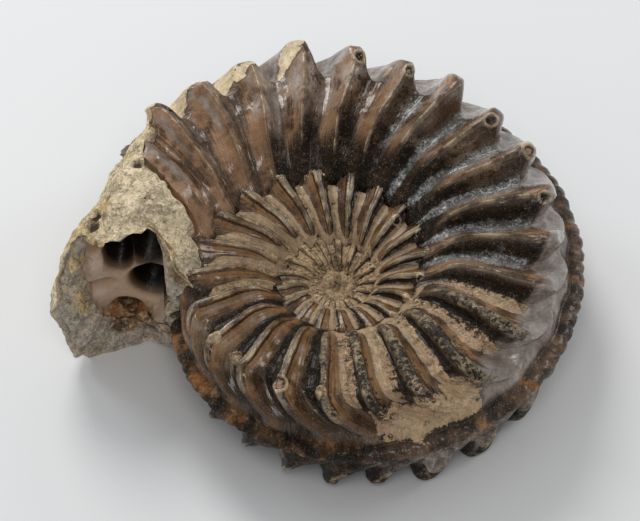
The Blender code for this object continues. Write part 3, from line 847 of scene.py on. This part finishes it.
def hollow_inside(face_end, flank_height, around, reach, rim_reach):
    """The hollow's wall and the partition behind it, each as points and marks."""
    down = np.linspace(0.0, 1.0, 15)[1:, None]
    wall_end = np.minimum(partition_angle(*from_hollow(around, reach)), face_end - math.radians(1.5))
    undercut = 1.0 + 0.02 * np.sin(math.pi * down * 0.8)
    narrowed = 1.0 - 0.05 * down * smoothstep(0.25, 0.40, flank_height)
    wall_reach = np.minimum(reach * undercut, rim_reach - 0.016) * narrowed
    radius, height = from_hollow(around, wall_reach)
    angle = face_end + (wall_end - face_end) * down
    angle = angle + np.radians(0.25 * rough(polar(angle, radius, height), 12.0, 3, 73)) * (down < 1.0)
    wall = polar(angle, radius, height)
    wall_marks = {"face": 2.0 + down, "depth": (PARTITION_ANGLE - angle) / DEPTH_SPAN,
                  "lip": (1.0 - 0.5 * down) * smoothstep(-0.10, -0.20, height)}

    inward = np.linspace(1.0, 0.0, 64)[1:, None]
    radius, height = from_hollow(around, wall_reach[-1] * inward)
    gap = wall_end - partition_angle(*from_hollow(around, wall_reach[-1]))
    angle = partition_angle(radius, height) + gap * smoothstep(0.75, 1.0, inward)
    angle = angle + np.radians(0.12 * rough(polar(angle, radius, height), 14.0, 2, 74))
    # how far into a deep lobe each spot lies, for its painted shade
    lobe = spot_field(SHADED_LOBES, radius, height, 1.5)
    wall_marks["lobe"] = lobe[:1] * down
    marks = {"face": 4.0 - inward, "depth": (PARTITION_ANGLE - angle) / DEPTH_SPAN, "lobe": lobe}
    return (wall, wall_marks), (polar(angle, radius, height), marks)


def stone_filling_grid():
    """Points and marks of the filling: flank, broken face, wall of the hollow and partition."""
    ring = filling_ring()
    flank, flank_marks, flank_height = filling_flank(ring)
    rim_radius, rim_height = np.hypot(flank[-1, :, 0], flank[-1, :, 1]), flank[-1, :, 2]
    edge = hollow_edge(rim_radius, rim_height)
    *face, face_marks = rim_face(ring, rim_radius, rim_height, *edge)
    parts = [(flank, flank_marks), (polar(*face), face_marks),
             *hollow_inside(face[0][-1], flank_height, *edge)]
    heart = np.broadcast_to(polar(FILLING_START, 0.95, 0.0), flank[:1].shape)
    points = np.concatenate([heart] + [part for part, _ in parts], axis=0)
    marks = {"step": np.broadcast_to(ring.step * ring.side, points.shape[:2])}
    for mark in ("face", "depth", "lobe", "pit", "lump", "lip", "strip"):
        rows = [values.get(mark, 0.0) + np.zeros(part.shape[:2]) for part, values in parts]
        marks[mark] = np.concatenate([rows[0][:1]] + rows, axis=0)
    points = np.concatenate([points, points[:, :1]], axis=1)
    return points, {mark: np.concatenate([values, values[:, :1]], axis=1) for mark, values in marks.items()}


def core_grid():
    """A thin lens over the coil's centre, domed and dimpled on both faces."""
    rim = CORE_RIM * growth(CORE_ANGLE) * CORE_COVER
    around = np.linspace(0.0, FULL_TURN, 97)[None, :]
    out = np.concatenate([np.linspace(0.0, 1.0, 30), np.linspace(1.0, 0.0, 18)[1:]])[:, None]
    side = np.concatenate([np.ones(30), -np.ones(17)])[:, None]
    dome = 0.030 * bump(0.46, 0.30, out) + 0.018 * np.cos(out * math.pi / 2.0)
    points = polar(around, rim * out, side * dome)
    points[..., 2] += side * 0.060 * rough(points, 34.0, 4, 81) * np.sqrt(1.0 - out)
    points[:, -1] = points[:, 0]
    return points, {"out": np.broadcast_to(out, points.shape[:2])}


# ---------------------------------------------------------------- finishes
class Shade:
    """A socket of a finish, so that shader maths reads as an expression."""

    def __init__(self, finish, socket):
        self.finish, self.socket = finish, socket

    def maths(self, operation, *values):
        return self.finish.node("ShaderNodeMath", {"operation": operation}, dict(enumerate(values)))

    def __add__(self, other):
        return self.maths("ADD", self, other)

    def __radd__(self, other):
        return self.maths("ADD", other, self)

    def __sub__(self, other):
        return self.maths("SUBTRACT", self, other)

    def __rsub__(self, other):
        return self.maths("SUBTRACT", other, self)

    def __mul__(self, other):
        return self.maths("MULTIPLY", self, other)

    def __rmul__(self, other):
        return self.maths("MULTIPLY", other, self)

    def least(self, other):
        return self.maths("MINIMUM", self, other)

    def within(self, low, high, to_low=0.0, to_high=1.0):
        """Eased from to_low to to_high as the value goes from low to high."""
        return self.finish.node("ShaderNodeMapRange", {"interpolation_type": "SMOOTHSTEP"},
                                {"Value": self, "From Min": low, "From Max": high,
                                 "To Min": to_low, "To Max": to_high}, "Result")


class Finish:
    """A material and the few ways in which its nodes are made."""

    def __init__(self, name):
        self.material = bpy.data.materials.new(name)
        self.material.use_nodes = True
        self.tree = self.material.node_tree
        self.shader = self.tree.nodes["Principled BSDF"]
        unit = bpy.context.scene.ammonite_sizes.shell_unit
        own = self.node("ShaderNodeTexCoord", {}, {}, "Object")
        self.place = self.node("ShaderNodeMapping", {}, {"Vector": own, "Scale": (1.0 / unit,) * 3}, "Vector")

    def node(self, kind, settings, sockets, output=0):
        """A node of a kind: its settings first, then the values or links of its sockets."""
        made = self.tree.nodes.new(kind)
        for setting, value in settings.items():
            setattr(made, setting, value)
        for name, value in sockets.items():
            socket = made.inputs[name]
            if isinstance(value, Shade):
                self.tree.links.new(value.socket, socket)
            else:
                socket.default_value = value
        return Shade(self, made.outputs[output])

    def marks(self, *names):
        """The values that the piece carries under each name."""
        made = {name: self.node("ShaderNodeAttribute", {"attribute_name": name}, {}, "Fac") for name in names}
        return SimpleNamespace(**made)

    def grain(self, scale, detail=3.0, roughness=0.55, place=None, distortion=0.0):
        sockets = {"Vector": place or self.place, "Scale": scale, "Detail": detail,
                   "Roughness": roughness, "Distortion": distortion}
        return self.node("ShaderNodeTexNoise", {}, sockets, "Fac")

    def cracks(self, scale, width):
        edge = self.node("ShaderNodeTexVoronoi", {"feature": "DISTANCE_TO_EDGE"},
                         {"Vector": self.place, "Scale": scale, "Randomness": 1.0}, "Distance")
        return edge.within(0.0, width, 1.0, 0.0)

    def along(self, marks, across_scale, along_scale):
        """A place on the shell in ribs and profile steps, stretched along the ribs."""
        sockets = {"X": marks.rib * across_scale, "Y": marks.step * along_scale}
        return self.node("ShaderNodeCombineXYZ", {}, sockets, "Vector")

    def blend(self, under, over, share):
        """Mixes two colours, either of them a name from the panel's colours or made by nodes."""
        colours = bpy.context.scene.ammonite_colours
        sockets = {0: share}
        for index, colour in ((6, under), (7, over)):
            sockets[index] = (*getattr(colours, colour), 1.0) if isinstance(colour, str) else colour
        return self.node("ShaderNodeMix", {"data_type": "RGBA"}, sockets, 2)

    def layered(self, colour, *layers):
        """Lays one (colour, share) after another over a colour."""
        for over, share in layers:
            colour = self.blend(colour, over, share)
        return colour

    def dimmed(self, colour, share):
        sockets = {0: colour, "Scale": share}
        return self.node("ShaderNodeVectorMath", {"operation": "SCALE"}, sockets, "Vector")

    def close(self, colour, roughness, relief, depth, **constants):
        """Joins colour, roughness and relief to the shader, with depth in metres."""
        sockets = {"Height": relief, "Strength": 1.0, "Distance": depth}
        raised = self.node("ShaderNodeBump", {}, sockets, "Normal")
        for name, value in (("Base Color", colour), ("Roughness", roughness), ("Normal", raised)):
            self.tree.links.new(value.socket, self.shader.inputs[name])
        for name, value in constants.items():
            self.shader.inputs[name.replace("_", " ")].default_value = value
        return self.material


def glossy_shell(f, m, g):
    """The slopes, hollows, shoulders and keel, with painted shade on the steep sides and in the hollows, grey
    film and painted sheen, dusting, dark lines and pale crests.
    """
    # warm follows the amber mark, so it carries the painted light on the forward slopes
    warm = m.amber * 0.9 + (g.streak - 0.5) * 1.6 + (g.medium - 0.5) * 2.2 + (g.broad - 0.5) * 2.6
    rusty = (m.amber * (g.broad - 0.42) * 6.0 * g.streak.within(0.35, 0.65)).within(0.0, 1.0)
    dull = (g.broad * 0.5 + g.medium * 0.3 + g.streak * 0.2).within(0.46, 0.58)
    shady = (g.broad * 0.45 + g.medium * 0.55).within(0.50, 0.40) * 0.55 * (1.0 - g.veiled)
    colour = f.layered(
        "deep_brown",
        (f.blend("orange_brown", "golden_brown", m.turn.within(0.04, -0.22)), warm.within(0.05, 1.15)),
        ("rust", rusty * 0.7), ("grey_brown", dull * 0.55),
        ("deep_brown", g.thin_streak.within(0.52, 0.74) * (0.34 - g.veiled * 0.3)),
        ("deep_brown", shady),
        # very dark where the painted shade and the dark film lie
        (f.blend("near_black", "deep_brown", (g.medium * 0.5 + g.fine * 0.5).within(0.50, 0.60) * 0.6),
         g.hidden * 0.95),
        # grey film, with painted sheen along the slopes
        (f.blend("grey_mauve", "pearl", (g.medium * 0.6 + g.broad * 0.4).within(0.48, 0.62) * 0.5),
         g.veiled * 0.85))
    cords = f.grain(1.0, 3.0, 0.6, f.along(m, 5.0, 3.0)) * 0.25 + g.medium * 0.45 + g.broad * 0.3
    rusty_keel = m.keel * cords.within(0.50, 0.60) * (0.25 + m.amber).within(0.2, 1.0)
    cracked = f.cracks(15.0, 0.035) * m.dust.within(0.35, 0.8) * g.medium.within(0.52, 0.60)
    darkened = (m.outline * (0.45 + 1.2 * g.fine)).within(0.25, 0.8)
    grainy = (g.fine * 0.7 + g.medium * 0.3).within(0.46, 0.60) * m.stained.within(0.2, 0.9)
    crest = (m.pale * ((g.medium - 0.5) * 3.6 + (g.fine - 0.5) * 3.4 + 0.72)).within(0.22, 1.0)
    return f.layered(
        colour,
        (f.blend("near_black", "deep_brown", g.medium.within(0.42, 0.58)), m.keel * 0.9),
        ("rust", rusty_keel * 0.75),
        ("grey_brown", m.keel * (g.medium * 0.5 + g.fine * 0.5).within(0.54, 0.62) * 0.5),
        # blue-grey film in the troughs: dust, partly painted sheen
        ("dust_and_sheen_blue", (m.dust + (g.medium - 0.5) * 2.4).within(0.35, 1.1) * 0.6),
        ("dust_and_sheen_blue", g.dusty * 0.8), ("fleck", cracked * 0.75), ("near_black", darkened * 0.85),
        (f.blend("slate", "taupe", grainy * 0.7), g.worn * 0.80), ("pale_crest", crest * 0.85))


def silt(f, m, g, border):
    """Colour of the hardened silt, and of the stone over the newest ribs."""
    smooth = m.smooth.within(0.2, 0.7)
    stain = f.grain(26.0, 5.0, 0.7).within(0.53, 0.58)
    stain = stain * (f.grain(5.0, 3.0).within(0.52, 0.62) + border).least(1.0)
    return f.layered(
        "sediment",
        ("sediment_pink", (g.broad * 0.5 + g.streak * 0.5).within(0.44, 0.56)),
        ("taupe", (g.medium * 0.5 + g.streak * 0.5).within(0.46, 0.58) * 0.7), ("taupe", smooth * 0.8),
        ("stone", m.turn.within(0.20, 0.26) * (0.35 + g.medium * 0.6)),
        ("near_black", stain * (1.0 - smooth) * m.stained.within(0.0, 0.8) * 0.95))


def crumbly_shell(f, m, g):
    """Colour of the granular first whorls."""
    rusty = m.amber * 0.6 + (g.medium - 0.5) * 3.0 + (g.broad - 0.5) * 2.0
    # the dark mark carries its painted shade onto the first whorls too
    dark = m.black * 0.65 + (g.fine - 0.5) * 4.5 + m.outline
    return f.layered(
        "taupe",
        ("sediment", (g.fine * 0.6 + g.medium * 0.5).within(0.42, 0.60)),
        ("rust", rusty.within(0.30, 0.9) * 0.55),
        ("pale_crest", (m.pale * (0.3 + g.fine * 1.4)).within(0.3, 0.9) * 0.6),
        ("near_black", dark.within(0.35, 0.95) * 0.9))


def shell_finish():
    """Glossy brown shell turned to stone, with pale crests, painted shade in its hollows, painted sheen,
    dusting and sediment.
    """
    f = Finish("shell_finish")
    m = f.marks("turn", "step", "rib", "amber", "black", "mauve", "dust", "tan", "pale", "slate", "outline",
                "keel", "crumbly", "ring", "bore", "bead", "speck", "smooth", "stained")
    g = SimpleNamespace(
        broad=f.grain(2.6, 3.0), medium=f.grain(9.0, 5.0, 0.6), fine=f.grain(34.0, 4.0, 0.65),
        dots=f.grain(95.0, 2.0, 0.6), streak=f.grain(1.0, 4.0, 0.6, f.along(m, 22.0, 2.0)),
        thin_streak=f.grain(1.0, 3.0, 0.6, f.along(m, 70.0, 4.0)))
    wild = (g.medium - 0.5) * 3.0 + (g.fine - 0.5) * 1.2
    # translucent grey film, with the painted sheen along the slopes
    g.veiled = (m.mauve + (g.medium - 0.5) * 1.3 + (g.streak - 0.5) * 0.5).within(0.22, 0.95)
    # dark film with painted shade: steep backs of the ribs, troughs, seam and far flank
    g.hidden = (m.black + wild * 0.42 + (g.streak - 0.5)).within(0.22, 0.92)
    g.dusty = (m.dust + wild * 0.35).within(0.25, 0.85) * (g.dots + (g.fine - 0.5) * 0.9).within(0.46, 0.60)
    g.worn = (m.slate * ((g.medium - 0.5) * 2.5 + 0.9 + m.stained * 0.45)).within(0.30, 0.95)
    rubbed = g.worn * m.stained.within(0.2, 0.9)
    crumbly = m.crumbly.within(0.1, 0.9)

    covered = m.tan + (g.medium - 0.5) * 1.7 + (g.fine - 0.5) * 0.5 + m.smooth * 0.4
    coat = covered.within(0.43, 0.56)
    border = covered.within(0.30, 0.46) * covered.within(0.46, 0.95, 1.0, 0.0)
    clusters = (f.grain(36.0, 5.0, 0.75) - 0.5) * 6.0 + (g.broad - 0.5) * 2.0
    spotted = (m.speck * (clusters + 0.35)).within(0.28, 0.50)
    bronze = f.blend("bead", "pale_crest", (g.fine * 0.5 + g.medium * 0.5).within(0.44, 0.58))
    flecks = f.grain(150.0, 1.0).within(0.63, 0.71) * (0.40 + g.dusty + coat * 0.5).least(1.0)
    colour = f.layered(
        glossy_shell(f, m, g),
        (silt(f, m, g, border), coat), ("near_black", border * (1.0 - coat) * 0.7),
        ("near_black", spotted * 0.92), (crumbly_shell(f, m, g), crumbly * 0.85),
        (bronze, m.bead.within(0.05, 0.35) * 0.9),
        ("pale_crest", (m.ring * (0.2 + 1.4 * g.fine)).within(0.30, 0.85) * 0.8),
        ("near_black", m.bore.within(0.1, 0.7) * (1.0 - m.bore.within(1.1, 1.6)) * 0.9),
        ("orange_brown", m.bore.within(1.0, 1.7) * 0.95), ("fleck", flecks * 0.7))

    gritty = (g.hidden * 0.8 + rubbed + coat * 0.25 + m.crumbly + g.dusty * 0.5).within(0.0, 1.0, 0.22, 1.0)
    streaky = ((g.streak - 0.5) * 0.8 + (g.thin_streak - 0.5) * 0.4) * (1.0 - g.veiled * 0.8)
    shaded = ((g.fine - 0.5) * 2.2 + (g.dots - 0.5) * 1.6) * gritty + (g.medium - 0.5) * 1.3 + streaky + 1.05
    colour = f.dimmed(colour, shaded.within(0.25, 2.0, 0.25, 2.0))
    skin = 0.22 + 0.16 * (g.fine * 0.6 + g.dots * 0.4).within(0.46, 0.60) * gritty + 0.10 * g.hidden
    skin = skin + rubbed * 0.30 + coat * (0.34 - 0.20 * m.smooth.within(0.2, 0.7)) + g.dusty * 0.20
    skin = skin + crumbly * 0.28
    gloss = 1.0 - g.hidden * 0.75 - coat * 0.70 - crumbly * 0.65 - g.dusty * 0.4 - rubbed * 0.8
    patchy = 0.45 + (g.medium * 0.5 + g.fine * 0.5).within(0.42, 0.58) * 0.5
    gloss = (gloss - m.keel * 0.55).within(0.0, 1.0) * patchy * 0.85
    relief = g.medium * 0.34 + (g.streak * 0.30 + g.thin_streak * 0.10) * (1.0 - g.veiled * 0.85)
    relief = relief + coat * 0.18 + (g.fine * 0.7 + g.dots * 0.35) * gritty - spotted * 0.15
    f.tree.links.new(gloss.socket, f.shader.inputs["Coat Weight"])
    return f.close(colour, skin.least(0.9), relief, 0.00042, Specular_IOR_Level=0.22,
                   Coat_Roughness=0.13, Coat_IOR=1.6, Specular_Tint=(1.0, 0.86, 0.72, 1.0))


def waxy_partition(f, m, broad, medium):
    """Colour of the smooth lobed wall at the bottom of the hollow, with painted light and shade: paler on its
    shallow arms, darker with depth, very dark in its deep lobes.
    """
    return f.layered(
        "partition",
        ("partition_dark", (broad * 0.5 + medium * 0.5).within(0.46, 0.56) * 0.5),
        # painted light and shade: pale where shallow, rust then deep brown deeper in, very dark in the deep
        # lobes
        ("partition_pale", m.depth.within(0.24, 0.14) * medium.within(0.38, 0.58) * 0.8),
        ("stone_grey", m.face.within(2.9, 2.0) * 0.7), ("rust", m.depth.within(0.25, 0.38) * 0.7),
        ("deep_brown", m.depth.within(0.36, 0.50) * 0.8), ("deep_brown", m.lobe.within(0.0, 0.12) * 0.8),
        ("near_black", m.lobe.within(0.04, 0.30)))


def stone_finish():
    """Gritty pale stone with painted shade in its pits, and a waxy partition in the hollow."""
    f = Finish("stone_finish")
    m = f.marks("face", "depth", "lobe", "pit", "lump", "lip", "step", "strip")
    broad, medium, fine = f.grain(3.0, 3.0), f.grain(10.0, 5.0, 0.6), f.grain(36.0, 4.0, 0.65)
    dots = f.grain(110.0, 2.0)
    rim = m.face.within(0.02, 0.15) * (1.0 - m.face.within(1.0, 1.3))
    plain, sheltered, glassy = m.face.within(1.0, 1.9), m.face.within(1.4, 2.2), m.lip.within(0.15, 0.75)
    grey = ((medium - 0.5) * 1.6 + (fine - 0.5) * 1.5 + (1.0 - m.step) * 0.40).within(0.1, 0.8)
    yellow = (broad - 0.5) * 2.5 + (medium - 0.5) * 2.0 + m.step.within(0.80, 1.2) * 0.35
    calcite = f.layered(
        "stone_grey",
        ("pearl", medium.within(0.44, 0.56) * 0.8), ("pale_crest", fine.within(0.52, 0.64) * 0.55),
        ("deep_brown", f.grain(16.0, 4.0, 0.65).within(0.55, 0.66) * 0.5),
        ("rust", m.face.within(0.7, 1.0) * medium.within(0.45, 0.6) * 0.5))
    amber = f.layered("deep_brown", ("rust", medium.within(0.40, 0.54)),
                      ("pale_crest", fine.within(0.50, 0.62)))
    vein = (f.grain(7.0, 5.0, 0.6, distortion=0.6) - 0.5) * 8.0
    vein = (vein * vein).within(0.05, 0.0) * (1.0 - plain) * (1.0 - rim * 0.6) * 0.7
    colour = f.layered(
        "stone",
        ("stone_grey", grey * 0.8), ("stone_yellow", yellow.within(0.15, 0.7) * 0.8),
        ("deep_brown", fine.within(0.58, 0.72) * 0.32 + dots.within(0.60, 0.74) * 0.25),
        (calcite, rim * 0.85), ("stone_yellow", (m.lump + (fine - 0.5) * 1.2).within(0.3, 0.8) * 0.85),
        (waxy_partition(f, m, broad, medium), m.face.within(1.1, 1.9)), (amber, glassy * 0.85),
        (f.blend("bead", "pale_crest", medium.within(0.42, 0.6)), m.strip.within(0.2, 0.7) * 0.85),
        # painted shade in the pits, pocks and holes of the stone
        ("near_black", (m.pit * (0.5 + fine)).within(0.30, 1.0) * 0.85),
        ("deep_brown", vein * fine.within(0.40, 0.60) * 0.55))
    shaded = ((fine - 0.5) * 2.1 + (dots - 0.5)) * (1.0 - plain * 0.85)
    shaded = shaded + (medium - 0.5) * (1.0 - plain * 0.5) + 1.12
    colour = f.dimmed(colour, shaded.within(0.3, 1.8, 0.3, 1.8))
    skin = 0.80 - sheltered * 0.50 - rim * 0.28 - glassy * 0.25 + (fine - 0.5) * 0.3
    relief = (medium * 1.8 + fine * 0.9 + dots * 0.2 - vein * 0.35) * (1.0 - sheltered * 0.88)
    return f.close(colour, skin, relief, 0.00085, Specular_IOR_Level=0.28)


def core_finish():
    """Granular grey-tan stone, painted darker towards its dimpled centre as shade."""
    f = Finish("core_finish")
    medium, fine, dots = f.grain(14.0, 4.0), f.grain(48.0, 4.0, 0.65), f.grain(120.0, 2.0)
    # painted shade: darker towards the dimpled centre of the lens
    dark = fine.within(0.52, 0.62) * 0.7 + f.marks("out").out.within(0.28, 0.05) * 0.7
    colour = f.layered(
        "taupe",
        ("sediment", (fine * 0.6 + medium * 0.4).within(0.36, 0.54)), ("near_black", dark.least(1.0)),
        ("pale_crest", dots.within(0.60, 0.70) * 0.6))
    return f.close(colour, 0.72 + (fine - 0.5) * 0.2, medium * 0.5 + fine * 0.9 + dots * 0.4, 0.00025)


# ---------------------------------------------------------------- sizes and colours
def tint(name, about, red, green, blue):
    return FloatVectorProperty(name=name, description=about, default=(red, green, blue), size=3,
                               min=0.0, max=1.0, subtype="COLOR")


class AmmoniteColours(bpy.types.PropertyGroup):
    # orange brown also carries the painted light of the forward slopes
    orange_brown: tint("Orange brown", "Glossy forward slopes of the ribs", 0.365, 0.205, 0.112)
    golden_brown: tint("Golden brown", "Slopes of the older ribs", 0.285, 0.132, 0.036)
    rust: tint("Rust", "Warmest patches of the slopes", 0.365, 0.158, 0.050)
    deep_brown: tint("Deep brown", "Shell between the slopes", 0.076, 0.039, 0.018)
    # near black is also the colour of the painted shade on steep sides, in hollows, pits and deep lobes
    near_black: tint("Near black", "Steep sides and hollows", 0.008, 0.005, 0.003)
    # grey mauve and pearl also colour the painted sheen on the slopes
    grey_mauve: tint("Grey mauve", "Translucent shoulders and belly", 0.262, 0.212, 0.178)
    pale_crest: tint("Pale crest", "Worn lines along the crests", 0.520, 0.395, 0.245)
    slate: tint("Slate", "Worn tops of the ribs", 0.260, 0.218, 0.150)
    pearl: tint("Pearl", "Palest film of the shoulders", 0.400, 0.360, 0.325)
    grey_brown: tint("Grey brown", "Dull patches of the slopes", 0.215, 0.145, 0.085)
    fleck: tint("Fleck", "Fine bright grains", 0.620, 0.560, 0.480)
    # the dust colour, also used for the painted sheen in the troughs
    dust_and_sheen_blue: tint("Dust", "Blue grey dust in the hollows", 0.250, 0.265, 0.262)
    sediment: tint("Sediment", "Hardened silt between the ribs", 0.520, 0.372, 0.222)
    sediment_pink: tint("Pink sediment", "Warmer silt", 0.500, 0.325, 0.205)
    taupe: tint("Taupe", "Smooth greyish silt", 0.330, 0.230, 0.132)
    bead: tint("Bead", "Beads on the shoulder", 0.240, 0.140, 0.060)
    stone: tint("Stone", "Filling of the open end", 0.830, 0.690, 0.465)
    stone_yellow: tint("Yellow stone", "Stained filling", 0.700, 0.520, 0.260)
    stone_grey: tint("Grey stone", "Weathered filling", 0.560, 0.480, 0.370)
    partition: tint("Partition", "Waxy wall in the hollow", 0.470, 0.325, 0.220)
    partition_dark: tint("Partition shade", "Darker parts of the waxy wall", 0.350, 0.225, 0.140)
    partition_pale: tint("Partition crest", "Palest arms of the waxy wall", 0.520, 0.420, 0.340)


class AmmoniteSizes(bpy.types.PropertyGroup):
    shell_unit: FloatProperty(name="Shell unit", description="Length of one unit of the coil's rule",
                              default=0.0233, unit="LENGTH")
    near_columns: IntProperty(name="Columns a rib, near", default=40, min=8,
                              description="Mesh columns for each rib of the near flank")
    far_columns: IntProperty(name="Columns a rib, far", default=22, min=6,
                             description="Mesh columns for each rib of the far flank")


class AMMONITE_OT_outer_whorl(bpy.types.Operator):
    """Model the newest whorl of the shell, its near and its far half"""
    bl_idname = "ammonite.outer_whorl"
    bl_label = "Outer whorl"

    def execute(self, context):
        sizes = context.scene.ammonite_sizes
        steps = spread(0.0, 3.0, 90, ((0.6, 0.5, 0.9), (1.05, 0.22, 1.4), (2.85, 0.2, 1.5)))
        counts = outer_counts(steps, sizes.near_columns)
        whorl_piece("outer_whorl_near", counts, steps, 1.0, crowned=True, broken=True)
        steps = spread(0.0, 2.8, 64, ((1.05, 0.3, 1.0),))
        counts = outer_counts(steps, sizes.far_columns)
        whorl_piece("outer_whorl_far", counts, steps, -1.0, broken=True)
        return {"FINISHED"}


class AMMONITE_OT_inner_whorls(bpy.types.Operator):
    """Model the older whorls that show inside the coil, near and far"""
    bl_idname = "ammonite.inner_whorls"
    bl_label = "Inner whorls"

    def execute(self, context):
        for name, side, rows, dense in (("inner_whorls_near", 1.0, 62, 1.0),
                                        ("inner_whorls_far", -1.0, 34, 0.5)):
            steps = spread(0.0, 1.3, rows, ((1.0, 0.2, 0.8),))
            old = rib_columns(OLDEST_RIB, 45.0, 22 * dense)
            middle = rib_columns(45.0, 34.0, 32 * dense)
            new = rib_columns(34.0, OUTER_WHORL_START, 46 * dense)
            whorl_piece(name, np.concatenate([old, middle[1:], new[1:]]), steps, side)
        return {"FINISHED"}


class AMMONITE_OT_core(bpy.types.Operator):
    """Model the small first chamber at the coil's centre"""
    bl_idname = "ammonite.core"
    bl_label = "Core"

    def execute(self, context):
        make_piece("core", *core_grid(), core_finish)
        return {"FINISHED"}


class AMMONITE_OT_stone_filling(bpy.types.Operator):
    """Model the stone that fills the open end, its broken rim, hollow and partition"""
    bl_idname = "ammonite.stone_filling"
    bl_label = "Stone filling"

    def execute(self, context):
        make_piece("stone_filling", *stone_filling_grid(), stone_finish)
        return {"FINISHED"}


class AMMONITE_OT_stage(bpy.types.Operator):
    """Lay the table and set the lights and the camera"""
    bl_idname = "ammonite.stage"
    bl_label = "Stage"

    def execute(self, context):
        context.scene.view_settings.view_transform = "Standard"
        lay_table()
        set_lights()
        set_camera()
        return {"FINISHED"}


# ---------------------------------------------------------------- the stage
CAMERA_TURN = math.radians(94.25)
CAMERA_TILT = math.radians(36.24)
CAMERA_SHIFT = (0.0854, -0.140)                     # units, across and up
CAMERA_DISTANCE = 50.0                              # units
FOCAL_LENGTH = 582.9                                # millimetres
SENSOR_WIDTH = 36.0                                 # millimetres
LAMP_AIM = Vector((0.0, 0.0, 0.01))                 # metres
# name, place and width in metres, watts and colour
LAMPS = (("light_above", (-0.13, 0.36, 0.42), 0.24, 1.10, (1.0, 0.985, 0.96)),
         ("light_back_left", (-0.42, 0.36, 0.27), 0.20, 0.70, (0.86, 0.94, 1.0)),
         ("light_right", (0.46, 0.16, 0.26), 0.18, 0.36, (0.95, 0.98, 1.0)),
         ("light_front", (0.05, -0.36, 0.60), 0.22, 0.66, (1.0, 0.98, 0.95)))
ROOM_COLOUR = (0.82, 0.825, 0.835, 1.0)
ROOM_STRENGTH = 0.46
TABLE_HALF_WIDTH = 2.0                              # metres
TABLE_COLOUR = (0.86, 0.87, 0.88, 1.0)
TABLE_ROUGHNESS = 0.5


def set_camera():
    unit = bpy.context.scene.ammonite_sizes.shell_unit
    turned = Matrix.Rotation(CAMERA_TURN, 3, "Z")
    view = (turned @ Matrix.Rotation(CAMERA_TILT, 3, "Y") @ turned.transposed()).transposed()
    across, up = CAMERA_SHIFT
    spot = rest_turn() @ view @ Vector((-across, -up, CAMERA_DISTANCE)) * unit + Vector(COIL_CENTRE)
    lens = bpy.data.cameras.new("camera")
    lens.lens, lens.sensor_width = FOCAL_LENGTH, SENSOR_WIDTH
    lens.clip_start, lens.clip_end = 0.05, 20.0
    camera = bpy.data.objects.new("camera", lens)
    camera.matrix_world = Matrix.Translation(spot) @ (rest_turn() @ view).to_4x4()
    bpy.context.scene.collection.objects.link(camera)
    bpy.context.scene.camera = camera


def set_lights():
    for name, place, size, power, colour in LAMPS:
        lamp = bpy.data.lights.new(name, "AREA")
        lamp.shape, lamp.size, lamp.energy, lamp.color = "DISK", size, power, colour
        light = bpy.data.objects.new(name, lamp)
        aimed = (LAMP_AIM - Vector(place)).to_track_quat("-Z", "Y").to_matrix().to_4x4()
        light.matrix_world = Matrix.Translation(place) @ aimed
        bpy.context.scene.collection.objects.link(light)
    world = bpy.data.worlds.new("studio")
    world.use_nodes = True
    background = world.node_tree.nodes["Background"]
    background.inputs["Color"].default_value = ROOM_COLOUR
    background.inputs["Strength"].default_value = ROOM_STRENGTH
    bpy.context.scene.world = world


def lay_table():
    bm = bmesh.new()
    bmesh.ops.create_grid(bm, x_segments=1, y_segments=1, size=TABLE_HALF_WIDTH)
    mesh = bpy.data.meshes.new("table")
    bm.to_mesh(mesh)
    bm.free()
    table = bpy.data.objects.new("table", mesh)
    bpy.context.scene.collection.objects.link(table)
    paint = bpy.data.materials.new("pale_table")
    paint.use_nodes = True
    shader = paint.node_tree.nodes["Principled BSDF"]
    shader.inputs["Base Color"].default_value = TABLE_COLOUR
    shader.inputs["Roughness"].default_value = TABLE_ROUGHNESS
    mesh.materials.append(paint)


class AMMONITE_PT_panel(bpy.types.Panel):
    """Buttons that model the ammonite piece by piece"""
    bl_idname = "AMMONITE_PT_panel"
    bl_label = "Ammonite fossil"
    bl_space_type = "VIEW_3D"
    bl_region_type = "UI"
    bl_category = "Ammonite"

    def draw(self, context):
        layout = self.layout
        for step in STEPS:
            layout.operator(step.bl_idname)
        for group in (context.scene.ammonite_sizes, context.scene.ammonite_colours):
            for name in type(group).__annotations__:
                layout.prop(group, name)


STEPS = (AMMONITE_OT_outer_whorl, AMMONITE_OT_inner_whorls, AMMONITE_OT_core, AMMONITE_OT_stone_filling,
         AMMONITE_OT_stage)
CLASSES = (AmmoniteSizes, AmmoniteColours, *STEPS, AMMONITE_PT_panel)


def register():
    for part in CLASSES:
        bpy.utils.register_class(part)
    bpy.types.Scene.ammonite_sizes = PointerProperty(type=AmmoniteSizes)
    bpy.types.Scene.ammonite_colours = PointerProperty(type=AmmoniteColours)


def unregister():
    del bpy.types.Scene.ammonite_colours
    del bpy.types.Scene.ammonite_sizes
    for part in reversed(CLASSES):
        bpy.utils.unregister_class(part)


def main():
    register()
    bpy.ops.ammonite.outer_whorl()
    bpy.ops.ammonite.inner_whorls()
    bpy.ops.ammonite.core()
    bpy.ops.ammonite.stone_filling()
    bpy.ops.ammonite.stage()


if __name__ == "__main__":
    main()
